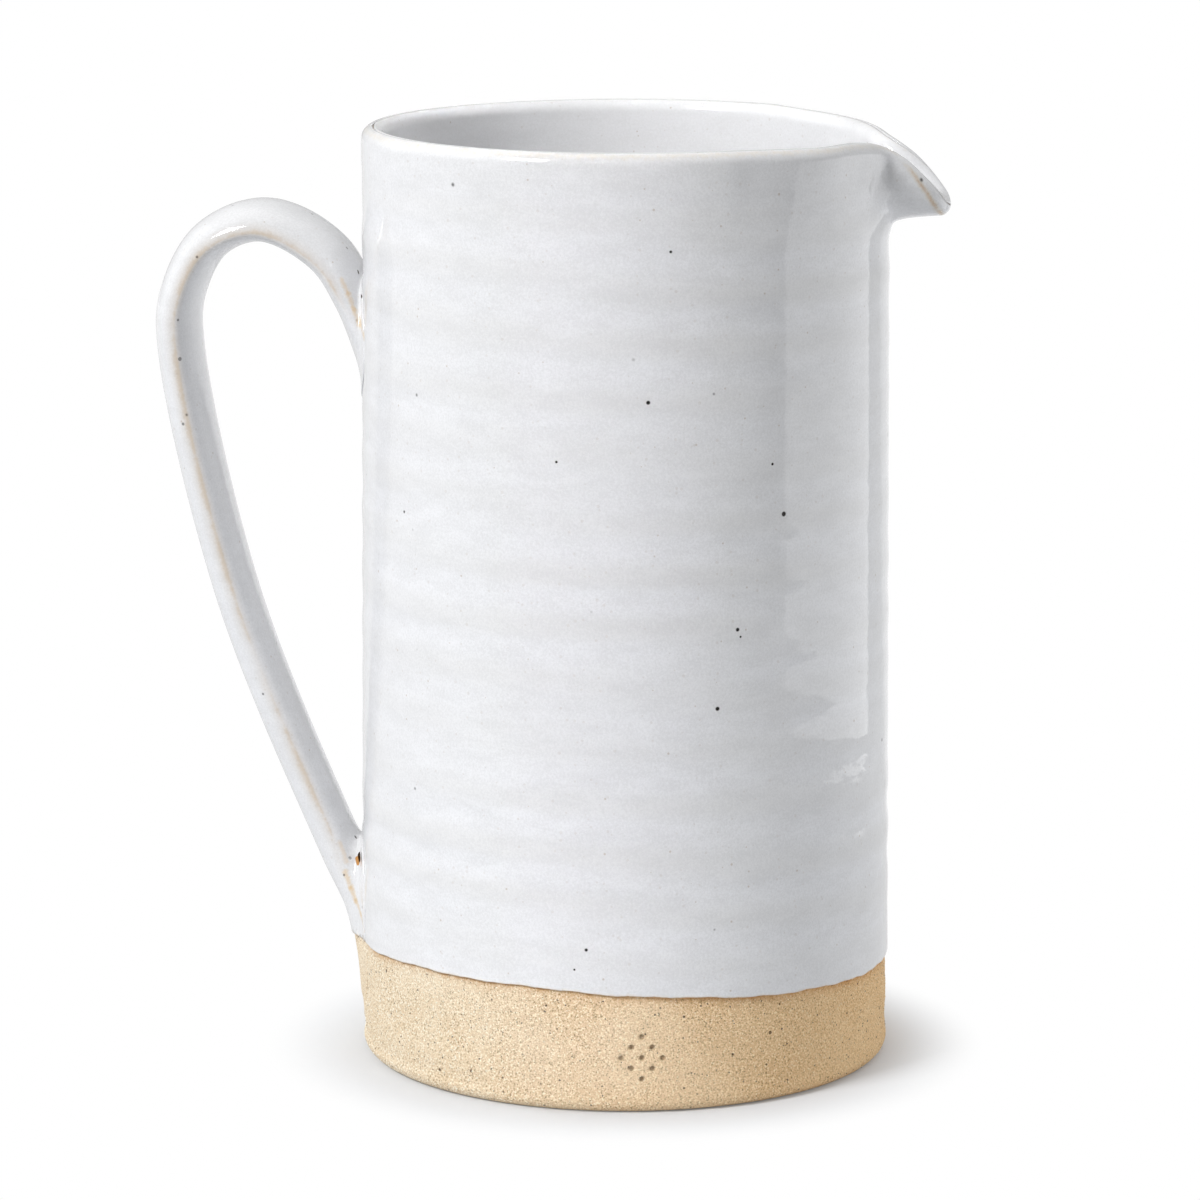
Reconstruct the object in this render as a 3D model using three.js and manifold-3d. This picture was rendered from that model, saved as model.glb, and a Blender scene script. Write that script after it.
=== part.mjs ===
// A hand-thrown stoneware pitcher: a straight cylinder with a spout pulled from its rim, a pulled strap
// handle stuck on with slip, and a white glaze dipped from the rim down to a bare clay foot.
// Millimetres, +Z up. The origin is the middle of the foot, the spout points along +X, the handle along -X.

import * as THREE from "three";
import { mergeVertices } from "three/addons/utils/BufferGeometryUtils.js";
import Module from "manifold-3d";

const wasm = await Module();
wasm.setup();

const { clamp, degToRad, lerp, smoothstep } = THREE.MathUtils;

// Thrown body, in bare clay
const HEIGHT = 217.4; // foot to the crest of the rim
const FOOT_RADIUS = 61.9;
const RIM_RADIUS = 60.3;
const WALL_AT_FOOT = 6.5;
const WALL_AT_RIM = 4.4;
const FLOOR = 8; // thickness of the floor
const FOOT_EDGE = 3; // rounding of the outer edge of the foot
const FLOOR_CORNER = 9; // rounding between the floor and the inner wall

// Spout, pulled out of the rim
const SPOUT_DEPTH = 24; // how far below the rim the wall starts to bend
const SPOUT_SPREAD = degToRad(60); // half angle of the rim that the pull moves
const LIP_THINNING = 0.1; // share by which the pull thins the clay at the tip
const UPRIGHT_SHARE = 0.85; // share of the bend that stays upright under the tip
const LEVEL_SHARE = 0.75; // share of the tip's reach that runs out nearly level
const LEVEL_RISE = 0.06; // rise over that level run, as a share of the bend
// Middle of the clay along the lip: distance out from the rim's circle, half width, fall below the rim
const SPOUT_TIP = [14.4, 0, 14.4];
const LIP_ROUTE = [
  [13.4, 4.8, 13.1],
  [9.4, 7.7, 8.7],
  [6.2, 8.5, 5.7],
  [3.4, 9.3, 3.8],
  [0.6, 11.5, 2.4],
];
// Sag of the rim beside the lip: share of the spread, fall below the rim
const RIM_SAG = [
  [0.32, 1.2],
  [0.6, 0.8],
  [1, 0],
];

// Strap handle, in bare clay; its section is two half ellipses, the outer one fuller than the inner
const STRAP_HALF_WIDTH = 13; // at the arch
const STRAP_TAPER = 4.8; // loss of half width from the arch to the tail
const TAPER_REACH = [0.1, 0.8]; // shares of the strap's length between which it tapers
const STRAP_OUTER_BULGE = 5.9;
const STRAP_INNER_BULGE = 2.7;
const UPPER_REACH = 0.17; // share of the strap's length over which the upper root spreads
const UPPER_FLARE = 6.8; // gain of half width at the upper root
const UPPER_SWELL = 0.5; // gain of the inner bulge at the upper root
const UPPER_THINNING = 5; // loss of the outer bulge at the upper root
const LOWER_REACH = 0.19; // share of the strap's length over which the tail spreads
const LOWER_FLARE = 11; // gain of half width at the tail
const LOWER_THINNING = 1; // loss of the outer bulge at the tail

// Strap route: distance out from the wall, then height below the rim (arch) or above the foot (tail)
const ARCH_ROUTE = [
  [-5, 64],
  [-0.9, 52],
  [3.8, 40.7],
  [10.5, 30.9],
  [24.2, 24.3],
  [36.2, 28.9],
  [42.7, 41],
  [43.2, 52.5],
];
const TAIL_ROUTE = [
  [5.4, 46],
  [-0.7, 33],
  [-2.9, 22],
  [-3.8, 11],
];
const STRAP_BELLY = 29.6; // distance out from the wall midway between arch and tail

// Slip, glaze and the line that the dip left
const SLIP = 0.8; // thickness of a slip bed
const JOINT_GAP = 0.3; // clearance of pieces that are cut to fit each other
const GLAZE = 0.45; // thickness of the glaze
const GLAZE_BOND = 0.15; // clearance between clay and glaze
const GLAZE_LINE = 24; // mean height of the bare foot band
const GLAZE_TILT = 4.5; // rise of the glaze line at the wall, on its high side
const GLAZE_TILT_ANGLE = degToRad(-112); // direction of that high side

// Fineness of the facets
const COLUMNS = 60; // columns round the body
const COLUMN_CROWDING = 0.65; // how far the columns crowd towards the spout
const BEND_ROWS = 8; // rows over the depth of the spout
const RIM_STEPS = 6; // facets over the crest of the rim
const EDGE_STEPS = 4; // facets of the foot edge and of the floor corner
const SECTION_POINTS = 12; // points round the strap
const STRAP_STEPS = 3; // sections between two points of the strap's route

const GLAZE_PROUD = GLAZE_BOND + GLAZE; // how far the glaze stands out of the clay
const RIM_HALF = WALL_AT_RIM / 2;
const RIM_CENTRE = HEIGHT - RIM_HALF; // height about which the crest is rounded
const CREST_GAP = JOINT_GAP / RIM_HALF; // angle of the hairline between the two coats on the crest
const BEND_START = RIM_CENTRE - SPOUT_DEPTH;
const OUTWARD_REACH = 2 * (FOOT_RADIUS + ARCH_ROUTE.at(-1)[0]); // wider than the whole pitcher

const glazeWhite = new THREE.MeshStandardMaterial({ color: 0xe6e6e8, roughness: 0.12, metalness: 0 });
const sandyClay = new THREE.MeshStandardMaterial({ color: 0xd8b98c, roughness: 0.85, metalness: 0 });
const driedSlip = new THREE.MeshStandardMaterial({ color: 0xc8a678, roughness: 0.9, metalness: 0 });

// Wall of the thrown cylinder, before the spout is pulled
const outerRadius = (z) => lerp(FOOT_RADIUS, RIM_RADIUS, z / RIM_CENTRE);
const wallThickness = (z) => lerp(WALL_AT_FOOT, WALL_AT_RIM, z / RIM_CENTRE);
const innerRadius = (z) => outerRadius(z) - wallThickness(z);
const middleRadius = (z) => outerRadius(z) - wallThickness(z) / 2;

// Height of the glaze line over a point of the plan
function glazeHeight(x, y) {
  const along = x * Math.cos(GLAZE_TILT_ANGLE) + y * Math.sin(GLAZE_TILT_ANGLE);
  return GLAZE_LINE + (GLAZE_TILT * along) / FOOT_RADIUS;
}

// A closed geometry as a solid for cutting, and back
function solidOf(geometry) {
  const bare = new THREE.BufferGeometry();
  bare.setAttribute("position", geometry.getAttribute("position"));
  bare.setIndex(geometry.index);
  const merged = mergeVertices(bare, 1e-4);
  const vertProperties = merged.getAttribute("position").array;
  const triVerts = new Uint32Array(merged.index.array);
  return new wasm.Manifold(new wasm.Mesh({ numProp: 3, vertProperties, triVerts }));
}

function geometryOf(solid) {
  const { vertProperties, triVerts } = solid.getMesh();
  const geometry = new THREE.BufferGeometry();
  geometry.setAttribute("position", new THREE.BufferAttribute(vertProperties, 3));
  geometry.setIndex(new THREE.BufferAttribute(triVerts, 1));
  geometry.computeVertexNormals();
  return geometry;
}

// The lip of the spout: the middle of the rim's clay from one end of the pull over the tip to the other
function makeLip() {
  const circle = middleRadius(RIM_CENTRE);
  const onBeak = ([out, halfWidth, fall]) => new THREE.Vector3(circle + out, halfWidth, RIM_CENTRE - fall);
  const onRim = ([share, fall]) => {
    const angle = share * SPOUT_SPREAD;
    return new THREE.Vector3(circle * Math.cos(angle), circle * Math.sin(angle), RIM_CENTRE - fall);
  };
  const side = [...LIP_ROUTE.map(onBeak), ...RIM_SAG.map(onRim)];
  const otherSide = side.map((point) => point.clone().setY(-point.y)).reverse();
  return new THREE.CatmullRomCurve3([...otherSide, onBeak(SPOUT_TIP), ...side]);
}

const lip = makeLip();
const lipAt = (angle) => lip.getPointAt(clamp((angle / SPOUT_SPREAD + 1) / 2, 0, 1));
const bendAt = (angle) => (RIM_CENTRE - lipAt(angle).z) / SPOUT_TIP[2]; // 0 on the upright rim, 1 at the tip

// A point in the middle of the pulled wall: the column at an angle bends from upright towards the lip
function pulledWall(angle, share) {
  const foot = middleRadius(BEND_START);
  const start = new THREE.Vector3(foot * Math.cos(angle), foot * Math.sin(angle), BEND_START);
  const end = lipAt(angle);
  const bend = bendAt(angle);
  const run = end.clone().sub(start);
  const even = 1 / 3; // handles of a straight column
  const upright = new THREE.Vector3(0, 0, run.z * lerp(even, UPRIGHT_SHARE, bend));
  const arrival = run.clone().multiplyScalar(lerp(even, LEVEL_SHARE, bend));
  arrival.z = run.z * lerp(even, LEVEL_RISE, bend);
  upright.add(start);
  arrival.subVectors(end, arrival);
  return new THREE.CubicBezierCurve3(start, upright, arrival, end).getPoint(share);
}

// Moves a point of the thrown wall to where the pull of the spout leaves it
function pullSpout(point) {
  const angle = Math.atan2(point.y, point.x);
  if (point.z <= BEND_START || Math.abs(angle) >= SPOUT_SPREAD) return point;
  const z = Math.min(point.z, RIM_CENTRE);
  const share = (z - BEND_START) / SPOUT_DEPTH;
  const small = 1e-3;
  const round = pulledWall(angle + small, share).sub(pulledWall(angle - small, share)).normalize();
  const rise = pulledWall(angle, share + small).sub(pulledWall(angle, share - small));
  const out = new THREE.Vector3().crossVectors(round, rise).normalize();
  const up = new THREE.Vector3().crossVectors(out, round);
  const thinned = 1 - LIP_THINNING * bendAt(angle) * share;
  const offset = thinned * (Math.hypot(point.x, point.y) - middleRadius(z));
  const lift = thinned * (point.z - z);
  return pulledWall(angle, share).addScaledVector(out, offset).addScaledVector(up, lift);
}

// Throws a profile on the wheel. The first faceRows points face away from the clay. The rest run back
// along it, so their quads are split along the same diagonals as the clay's and the two never cross.
function throwProfile(profile, faceRows = profile.length) {
  const thrown = new THREE.LatheGeometry(profile, COLUMNS, Math.PI / 2);
  const rows = profile.length;
  const index = [];
  for (let column = 0; column < COLUMNS; column++) {
    for (let row = 0; row < rows - 1; row++) {
      const a = column * rows + row;
      const b = a + rows;
      const c = b + 1;
      const d = a + 1;
      index.push(...(row < faceRows - 1 ? [a, b, d, c, d, b] : [a, b, c, a, c, d]));
    }
  }
  thrown.setIndex(index);
  thrown.rotateX(Math.PI / 2);
  return thrown;
}

// Crowds the columns towards the spout, then places each vertex by a rule
function shapeVertices(geometry, place) {
  const position = geometry.getAttribute("position");
  const point = new THREE.Vector3();
  for (let i = 0; i < position.count; i++) {
    point.fromBufferAttribute(position, i);
    const radius = Math.hypot(point.x, point.y);
    const even = Math.atan2(point.y, point.x);
    const angle = even - COLUMN_CROWDING * Math.sin(even);
    point.set(radius * Math.cos(angle), radius * Math.sin(angle), point.z);
    position.setXYZ(i, ...place(point));
  }
  return geometry;
}

// An arc of a profile, both ends included
function arc(x, z, radius, from, to, steps) {
  return Array.from({ length: steps + 1 }, (_, i) => {
    const angle = lerp(from, to, i / steps);
    return new THREE.Vector2(x + radius * Math.cos(angle), z + radius * Math.sin(angle));
  });
}

// Runs of the wall's profile, offset out of the clay
const bendHeights = Array.from({ length: BEND_ROWS }, (_, i) => BEND_START + (SPOUT_DEPTH * i) / BEND_ROWS);
const outerRun = (offset) => bendHeights.map((z) => new THREE.Vector2(outerRadius(z) + offset, z));
const innerRun = (offset) => bendHeights.map((z) => new THREE.Vector2(innerRadius(z) - offset, z)).reverse();

function rimRun(offset, from, to) {
  const steps = Math.round((RIM_STEPS * (to - from)) / Math.PI);
  return arc(middleRadius(RIM_CENTRE), RIM_CENTRE, RIM_HALF + offset, from, to, steps);
}

function floorRun(offset) {
  const z = FLOOR + FLOOR_CORNER;
  const corner = arc(innerRadius(z) - FLOOR_CORNER, z, FLOOR_CORNER - offset, 0, -Math.PI / 2, EDGE_STEPS);
  return [...corner, new THREE.Vector2(0, FLOOR + offset)];
}

// Clay of the body: foot, wall, rim, inner wall and floor in one profile
function makeBody() {
  const edge = outerRadius(FOOT_EDGE) - FOOT_EDGE;
  const profile = [
    new THREE.Vector2(0, 0),
    ...arc(edge, FOOT_EDGE, FOOT_EDGE, -Math.PI / 2, 0, EDGE_STEPS),
    ...outerRun(0),
    ...rimRun(0, 0, Math.PI),
    ...innerRun(0),
    ...floorRun(0),
  ];
  return shapeVertices(throwProfile(profile), pullSpout);
}

// A coat of glaze on a run of the body's profile
function makeCoat(run, place) {
  const face = run(GLAZE_PROUD);
  const back = run(GLAZE_BOND).reverse();
  const profile = [...face, ...back, face[0].clone()];
  return shapeVertices(throwProfile(profile, face.length), place);
}

// The whole wall as a plain plug, offset out of the clay, for cutting roots and beds to the body's curve
function makeWallPlug(offset) {
  const profile = [
    new THREE.Vector2(0, 0),
    new THREE.Vector2(outerRadius(0) + offset, 0),
    new THREE.Vector2(outerRadius(HEIGHT) + offset, HEIGHT),
    new THREE.Vector2(0, HEIGHT),
  ];
  return solidOf(shapeVertices(throwProfile(profile), (point) => point));
}

// Everything below the glaze line
function makeBelowLine() {
  const slab = new THREE.BoxGeometry(OUTWARD_REACH, OUTWARD_REACH, HEIGHT);
  slab.translate(0, 0, -HEIGHT / 2);
  const position = slab.getAttribute("position");
  for (let i = 0; i < position.count; i++) {
    const lift = glazeHeight(position.getX(i), position.getY(i));
    position.setZ(i, position.getZ(i) + lift);
  }
  return solidOf(slab);
}

// Middle line of the strap, from inside the wall under the arch to inside the wall at the tail
function makeStrapRoute() {
  const arch = ARCH_ROUTE.map(([out, below]) => [out, HEIGHT - below]);
  const bellyHeight = (arch.at(-1)[1] + TAIL_ROUTE[0][1]) / 2;
  const points = [...arch, [STRAP_BELLY, bellyHeight], ...TAIL_ROUTE];
  return new THREE.CatmullRomCurve3(points.map(([out, z]) => new THREE.Vector3(-outerRadius(z) - out, 0, z)));
}

// The strap as a loft of lens sections along its route, grown all round by a coat's thickness
function makeStrap(grow) {
  const route = makeStrapRoute();
  const sections = (route.points.length - 1) * STRAP_STEPS;
  const lengths = route.getLengths(sections);
  const sideways = new THREE.Vector3(0, 1, 0);
  const position = [];
  for (let section = 0; section <= sections; section++) {
    const share = section / sections;
    const centre = route.getPoint(share);
    const outward = new THREE.Vector3().crossVectors(sideways, route.getTangent(share));
    const along = lengths[section] / lengths[sections];
    const atUpper = 1 - smoothstep(along, 0, UPPER_REACH);
    const atLower = smoothstep(along, 1 - LOWER_REACH, 1);
    const tapered = STRAP_HALF_WIDTH - STRAP_TAPER * smoothstep(along, ...TAPER_REACH);
    const halfWidth = tapered + UPPER_FLARE * atUpper ** 2 + LOWER_FLARE * atLower + grow;
    const outerBulge = STRAP_OUTER_BULGE - UPPER_THINNING * atUpper - LOWER_THINNING * atLower + grow;
    const innerBulge = STRAP_INNER_BULGE + UPPER_SWELL * atUpper + grow;
    const wrap = (atUpper + atLower) / (2 * FOOT_RADIUS); // the roots are pressed round the wall
    for (let i = 0; i < SECTION_POINTS; i++) {
      const turn = (2 * Math.PI * i) / SECTION_POINTS;
      const bulge = Math.sin(turn) > 0 ? outerBulge : innerBulge;
      const point = centre.clone().addScaledVector(sideways, halfWidth * Math.cos(turn));
      point.x += wrap * point.y ** 2;
      position.push(...point.addScaledVector(outward, bulge * Math.sin(turn)));
    }
  }
  const index = [];
  for (let section = 0; section < sections; section++) {
    for (let i = 0; i < SECTION_POINTS; i++) {
      const a = section * SECTION_POINTS + i;
      const b = section * SECTION_POINTS + ((i + 1) % SECTION_POINTS);
      index.push(a, b + SECTION_POINTS, b, a, a + SECTION_POINTS, b + SECTION_POINTS);
    }
  }
  const last = sections * SECTION_POINTS;
  for (let i = 1; i < SECTION_POINTS - 1; i++) {
    index.push(0, i, i + 1, last, last + i + 1, last + i);
  }
  const strap = new THREE.BufferGeometry();
  strap.setAttribute("position", new THREE.Float32BufferAttribute(position, 3));
  strap.setIndex(index);
  return solidOf(strap);
}

// The two slip beds, upper first: the strap's footprint between the wall and the handle's roots
function makeSlipBeds() {
  const layer = makeWallPlug(JOINT_GAP + SLIP).subtract(makeWallPlug(JOINT_GAP));
  const beds = makeStrap(0).intersect(layer).decompose();
  const height = (bed) => bed.boundingBox().max[2];
  return beds.sort((a, b) => height(b) - height(a)).map(geometryOf);
}

function makeHandle() {
  return geometryOf(makeStrap(0).subtract(makeWallPlug(JOINT_GAP + SLIP + JOINT_GAP)));
}

function makeHandleGlaze() {
  const coat = makeStrap(GLAZE_PROUD).subtract(makeStrap(GLAZE_BOND));
  return geometryOf(coat.subtract(makeWallPlug(JOINT_GAP)).subtract(makeBelowLine()));
}

// Outer coat: from the glaze line up the wall to the crest of the rim, open where the handle's roots pass
function makeOuterGlaze() {
  const run = (offset) => [
    new THREE.Vector2(outerRadius(GLAZE_LINE) + offset, GLAZE_LINE),
    ...outerRun(offset),
    ...rimRun(offset, 0, (Math.PI - CREST_GAP) / 2),
  ];
  const place = (point) => {
    if (point.z > GLAZE_LINE) return pullSpout(point);
    return point.setZ(glazeHeight(point.x, point.y));
  };
  const coat = solidOf(makeCoat(run, place));
  return geometryOf(coat.subtract(makeStrap(GLAZE_PROUD + JOINT_GAP)));
}

// Inner coat: from the crest of the rim down the inner wall and over the floor
function makeLinerGlaze() {
  const run = (offset) => [
    ...rimRun(offset, (Math.PI + CREST_GAP) / 2, Math.PI),
    ...innerRun(offset),
    ...floorRun(offset),
  ];
  return makeCoat(run, pullSpout);
}

const pitcher = new THREE.Group();

function addPiece(name, geometry, material) {
  const piece = new THREE.Mesh(geometry, material);
  piece.name = name;
  pitcher.add(piece);
}

const [upperBed, lowerBed] = makeSlipBeds();
addPiece("thrown_body", makeBody(), sandyClay);
addPiece("pulled_handle", makeHandle(), sandyClay);
addPiece("upper_slip_joint", upperBed, driedSlip);
addPiece("lower_slip_joint", lowerBed, driedSlip);
addPiece("outer_glaze", makeOuterGlaze(), glazeWhite);
addPiece("liner_glaze", makeLinerGlaze(), glazeWhite);
addPiece("handle_glaze", makeHandleGlaze(), glazeWhite);

export default pitcher;
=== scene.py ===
# %% [markdown]
# # A hand-thrown stoneware pitcher
# The pitcher is a straight cylinder thrown on the wheel, with a spout pulled out of its wet rim, a strap
# handle stuck on with slip, and a white glaze that was dipped from the top and stops short of the foot.
# The lesson follows the potter: throw the wall, pull the spout, dip the glaze, pull and seat the handle,
# leave the sandy foot bare, then photograph the result in a bright studio.
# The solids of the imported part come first. They fix the size and the place of every piece made here.

# %% Load the frame
import math
from contextlib import contextmanager

import bmesh
import bpy
import numpy as np
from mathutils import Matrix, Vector
from mathutils.bvhtree import BVHTree


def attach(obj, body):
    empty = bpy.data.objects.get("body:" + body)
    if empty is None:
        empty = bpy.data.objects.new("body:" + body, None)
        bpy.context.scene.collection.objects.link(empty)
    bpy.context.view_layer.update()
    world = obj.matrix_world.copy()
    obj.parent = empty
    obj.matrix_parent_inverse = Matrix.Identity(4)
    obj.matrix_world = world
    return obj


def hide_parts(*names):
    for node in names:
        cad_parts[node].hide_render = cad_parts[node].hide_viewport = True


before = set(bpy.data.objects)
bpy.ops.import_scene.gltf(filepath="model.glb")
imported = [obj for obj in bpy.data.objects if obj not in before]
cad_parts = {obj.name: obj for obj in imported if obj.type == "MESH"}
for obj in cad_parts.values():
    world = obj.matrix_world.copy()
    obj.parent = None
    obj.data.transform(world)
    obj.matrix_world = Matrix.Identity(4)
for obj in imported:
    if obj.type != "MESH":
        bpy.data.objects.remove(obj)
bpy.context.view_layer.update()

print("CAD nodes:", sorted(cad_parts))

# %% [markdown]
# ## Sizes
# A pot is measured in millimetres, while Blender works in metres. All rules below are written in
# millimetres and only the finished vertices are scaled, so the numbers stay easy to compare with the solids.

# %% Sizes of the body, in millimetres
MM = 0.001
TURN = 2 * math.pi
HEIGHT = 217.4  # bare clay, foot to the crest of the rim
FOOT_RADIUS = 61.9
RIM_RADIUS = 60.3
WALL_AT_FOOT = 6.5
WALL_AT_RIM = 4.4
FLOOR = 8.0
FOOT_EDGE = 3.0
FLOOR_CORNER = 9.0
GLAZE = 0.45
GLAZE_BOND = 0.15
GLAZE_PROUD = GLAZE + GLAZE_BOND
COAT = GLAZE_PROUD - 0.01  # a hair inside the facets of the solids
RIM_HALF = WALL_AT_RIM / 2
RIM_CENTRE = HEIGHT - RIM_HALF


def outer_radius(z):
    return FOOT_RADIUS + (RIM_RADIUS - FOOT_RADIUS) * z / RIM_CENTRE


def wall_thickness(z):
    return WALL_AT_FOOT + (WALL_AT_RIM - WALL_AT_FOOT) * z / RIM_CENTRE


def inner_radius(z):
    return outer_radius(z) - wall_thickness(z)


def middle_radius(z):
    return outer_radius(z) - wall_thickness(z) / 2


print("Height %.1f mm, diameter %.1f mm" % (HEIGHT + GLAZE_PROUD, 2 * (FOOT_RADIUS + GLAZE_PROUD)))

# %% [markdown]
# ## Camera
# The photograph was taken with a long lens from a little above the rim, slightly to the spout's side. A long
# lens far away keeps the straight wall looking straight. The numbers come from fitting the rim and foot
# ellipses.

# %% Camera at the photograph's place
VIEW_AZIMUTH = math.radians(8)
VIEW_PITCH = math.radians(11.166)
CAMERA_BACK = 1236.6
CAMERA_SIDE = -5.95
CAMERA_HEIGHT = 350.65
LENS = 161.6
SENSOR = 36  # Blender's usual width
PHOTO_WIDTH = 1200


def put_in_scene(name, data):
    made = bpy.data.objects.new(name, data)
    bpy.context.scene.collection.objects.link(made)
    return made


camera = put_in_scene("camera", bpy.data.cameras.new("camera"))
camera.data.lens = LENS
camera.data.clip_start = 0.01
sine, cosine = math.sin(VIEW_AZIMUTH), math.cos(VIEW_AZIMUTH)
to_right = Vector((cosine, sine, 0))
to_camera = Vector((sine, -cosine, 0))
camera.location = (CAMERA_SIDE * to_right + CAMERA_BACK * to_camera + Vector((0, 0, CAMERA_HEIGHT))) * MM
camera.rotation_euler = (math.pi / 2 - VIEW_PITCH, 0, VIEW_AZIMUTH)
bpy.context.scene.camera = camera


def ray_through(column, row):
    """From the camera through a place in the photograph, in metres."""
    offset = Vector((column - PHOTO_WIDTH / 2, PHOTO_WIDTH / 2 - row, 0)) * SENSOR / PHOTO_WIDTH
    return camera.location, camera.rotation_euler.to_matrix() @ (offset + Vector((0, 0, -LENS))).normalized()


print("Camera at", [round(v, 4) for v in camera.location])

# %% [markdown]
# ## Building node trees in code
# Shaders and Geometry Nodes are both node trees. A small class holds a tree and has a short word for each
# kind of node used here. Its words return signals, which are outputs that can be added and multiplied like
# numbers: each sum becomes a Math node, so a rule reads as it would on paper.

# %% Node helpers
class Signal:
    """An output socket of a node."""

    def __init__(self, tree, socket):
        self.tree, self.socket = tree, socket

    def __add__(self, other):
        return self.tree.maths("ADD", self, other)

    def __sub__(self, other):
        return self.tree.maths("SUBTRACT", self, other)

    def __rsub__(self, other):
        return self.tree.maths("SUBTRACT", other, self)

    def __mul__(self, other):
        return self.tree.maths("MULTIPLY", self, other)

    def __truediv__(self, other):
        return self.tree.maths("DIVIDE", self, other)


class Tree:
    """A node tree under construction."""

    def __init__(self, data):
        self.data = data
        self.identifiers = {}  # of a group's named inputs, for its modifier

    def add(self, kind, inputs=None, **settings):
        """Adds a node, sets its options and feeds its sockets with signals or plain values."""
        made = self.data.nodes.new(kind)
        for key, value in settings.items():
            setattr(made, key, value)
        for key, value in (inputs or {}).items():
            if isinstance(value, Signal):
                self.data.links.new(value.socket, made.inputs[key])
            else:
                made.inputs[key].default_value = value
        return made

    def node(self, kind, inputs=None, out=0, **settings):
        return Signal(self, self.add(kind, inputs, **settings).outputs[out])

    def outputs(self, kind, inputs=None, **settings):
        return {socket.name: Signal(self, socket) for socket in self.add(kind, inputs, **settings).outputs}

    def maths(self, operation, *values):
        return self.node("ShaderNodeMath", dict(enumerate(values)), operation=operation)

    def vector(self, operation, first, second=None):
        inputs = {0: first}
        if second is not None:
            inputs["Scale" if operation == "SCALE" else 1] = second
        out = "Value" if operation in ("DOT_PRODUCT", "DISTANCE", "LENGTH") else 0
        return self.node("ShaderNodeVectorMath", inputs, out, operation=operation)

    def mix(self, factor, first, second):
        return self.node("ShaderNodeMix", {0: factor, 6: first, 7: second}, 2, data_type="RGBA")

    def blend(self, factor, first, second):
        return self.node("ShaderNodeMix", {0: factor, 2: first, 3: second}, data_type="FLOAT")

    def ramp(self, value, low, high, start=0.0, end=1.0):
        limits = {"Value": value, "From Min": low, "From Max": high, "To Min": start, "To Max": end}
        return self.node("ShaderNodeMapRange", limits, interpolation_type="SMOOTHSTEP")

    def noise(self, place, scale, detail=2.0, roughness=0.5):
        options = {"Vector": place, "Scale": scale, "Detail": detail, "Roughness": roughness}
        return self.node("ShaderNodeTexNoise", options, "Fac")

    def attribute(self, name):
        return self.node("ShaderNodeAttribute", out="Fac", attribute_name=name)

    def store(self, geometry, name, value, domain="POINT"):
        inputs = {"Geometry": geometry, "Name": name, "Value": value}
        return self.node("GeometryNodeStoreNamedAttribute", inputs, data_type="FLOAT", domain=domain)


print("Node helpers ready")

# %% Trees of Geometry Nodes
def group_with(name, **kinds):
    """A Geometry Nodes tree whose named inputs are listed by kind."""
    tree = Tree(bpy.data.node_groups.new(name, "GeometryNodeTree"))
    sockets = tree.data.interface
    sockets.new_socket("Geometry", in_out="INPUT", socket_type="NodeSocketGeometry")
    for kind, titles in kinds.items():
        for title in titles:
            made = sockets.new_socket(title, in_out="INPUT", socket_type="NodeSocket" + kind)
            tree.identifiers[title] = made.identifier
    sockets.new_socket("Geometry", in_out="OUTPUT", socket_type="NodeSocketGeometry")
    return tree


def finish_tree(tree, geometry, material):
    """Every tree ends the same way: smooth shading, no instances left, one material."""
    smooth = tree.node("GeometryNodeSetShadeSmooth", {"Geometry": geometry})
    real = tree.node("GeometryNodeRealizeInstances", {"Geometry": smooth})
    dressed = tree.node("GeometryNodeSetMaterial", {"Geometry": real, "Material": material})
    tree.add("NodeGroupOutput", {"Geometry": dressed})


def run_tree(made, tree, values):
    """Sets a tree's inputs by identifier, evaluates it, and leaves a plain mesh without the modifier."""
    modifier = made.modifiers.new(tree.data.name, "NODES")
    modifier.node_group = tree.data
    for title, value in values.items():
        modifier[tree.identifiers[title]] = value
    made.update_tag()
    graph = bpy.context.evaluated_depsgraph_get()
    plain = bpy.data.meshes.new_from_object(made.evaluated_get(graph))
    made.modifiers.clear()
    raw = made.data
    made.data = plain
    bpy.data.meshes.remove(raw)
    plain.name = made.name


print("Tree helpers ready")

# %% Mesh helpers
def polyline_object(name, points, attributes=None):
    """A chain of vertices, in millimetres, as the raw material of a tree."""
    mesh = bpy.data.meshes.new(name)
    chain = [tuple(np.asarray(point) * MM) for point in points]
    mesh.from_pydata(chain, [(i, i + 1) for i in range(len(chain) - 1)], [])
    for key, values in (attributes or {}).items():
        set_floats(mesh, key, values)
    return put_in_scene(name, mesh)


def get_points(mesh):
    flat = np.empty(len(mesh.vertices) * 3, np.float32)
    mesh.vertices.foreach_get("co", flat)
    return flat.reshape(-1, 3).astype(float) / MM


def set_points(mesh, points):
    mesh.vertices.foreach_set("co", (np.asarray(points) * MM).astype(np.float32).ravel())
    mesh.update()


def get_floats(mesh, name):
    values = np.empty(len(mesh.vertices), np.float32)
    mesh.attributes[name].data.foreach_get("value", values)
    return values


def set_floats(mesh, name, values):
    layer = mesh.attributes.get(name) or mesh.attributes.new(name, "FLOAT", "POINT")
    layer.data.foreach_set("value", np.asarray(values, np.float32))


@contextmanager
def opened(mesh):
    """A mesh opened for editing. The changes go back into it at the end."""
    shell = bmesh.new()
    shell.from_mesh(mesh)
    yield shell
    shell.to_mesh(mesh)
    shell.free()
    mesh.update()


def settle(shell):
    """Splits faces of more than four corners and turns all normals outwards."""
    bmesh.ops.triangulate(shell, faces=[face for face in shell.faces if len(face.verts) > 4])
    bmesh.ops.recalc_face_normals(shell, faces=shell.faces)


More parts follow.
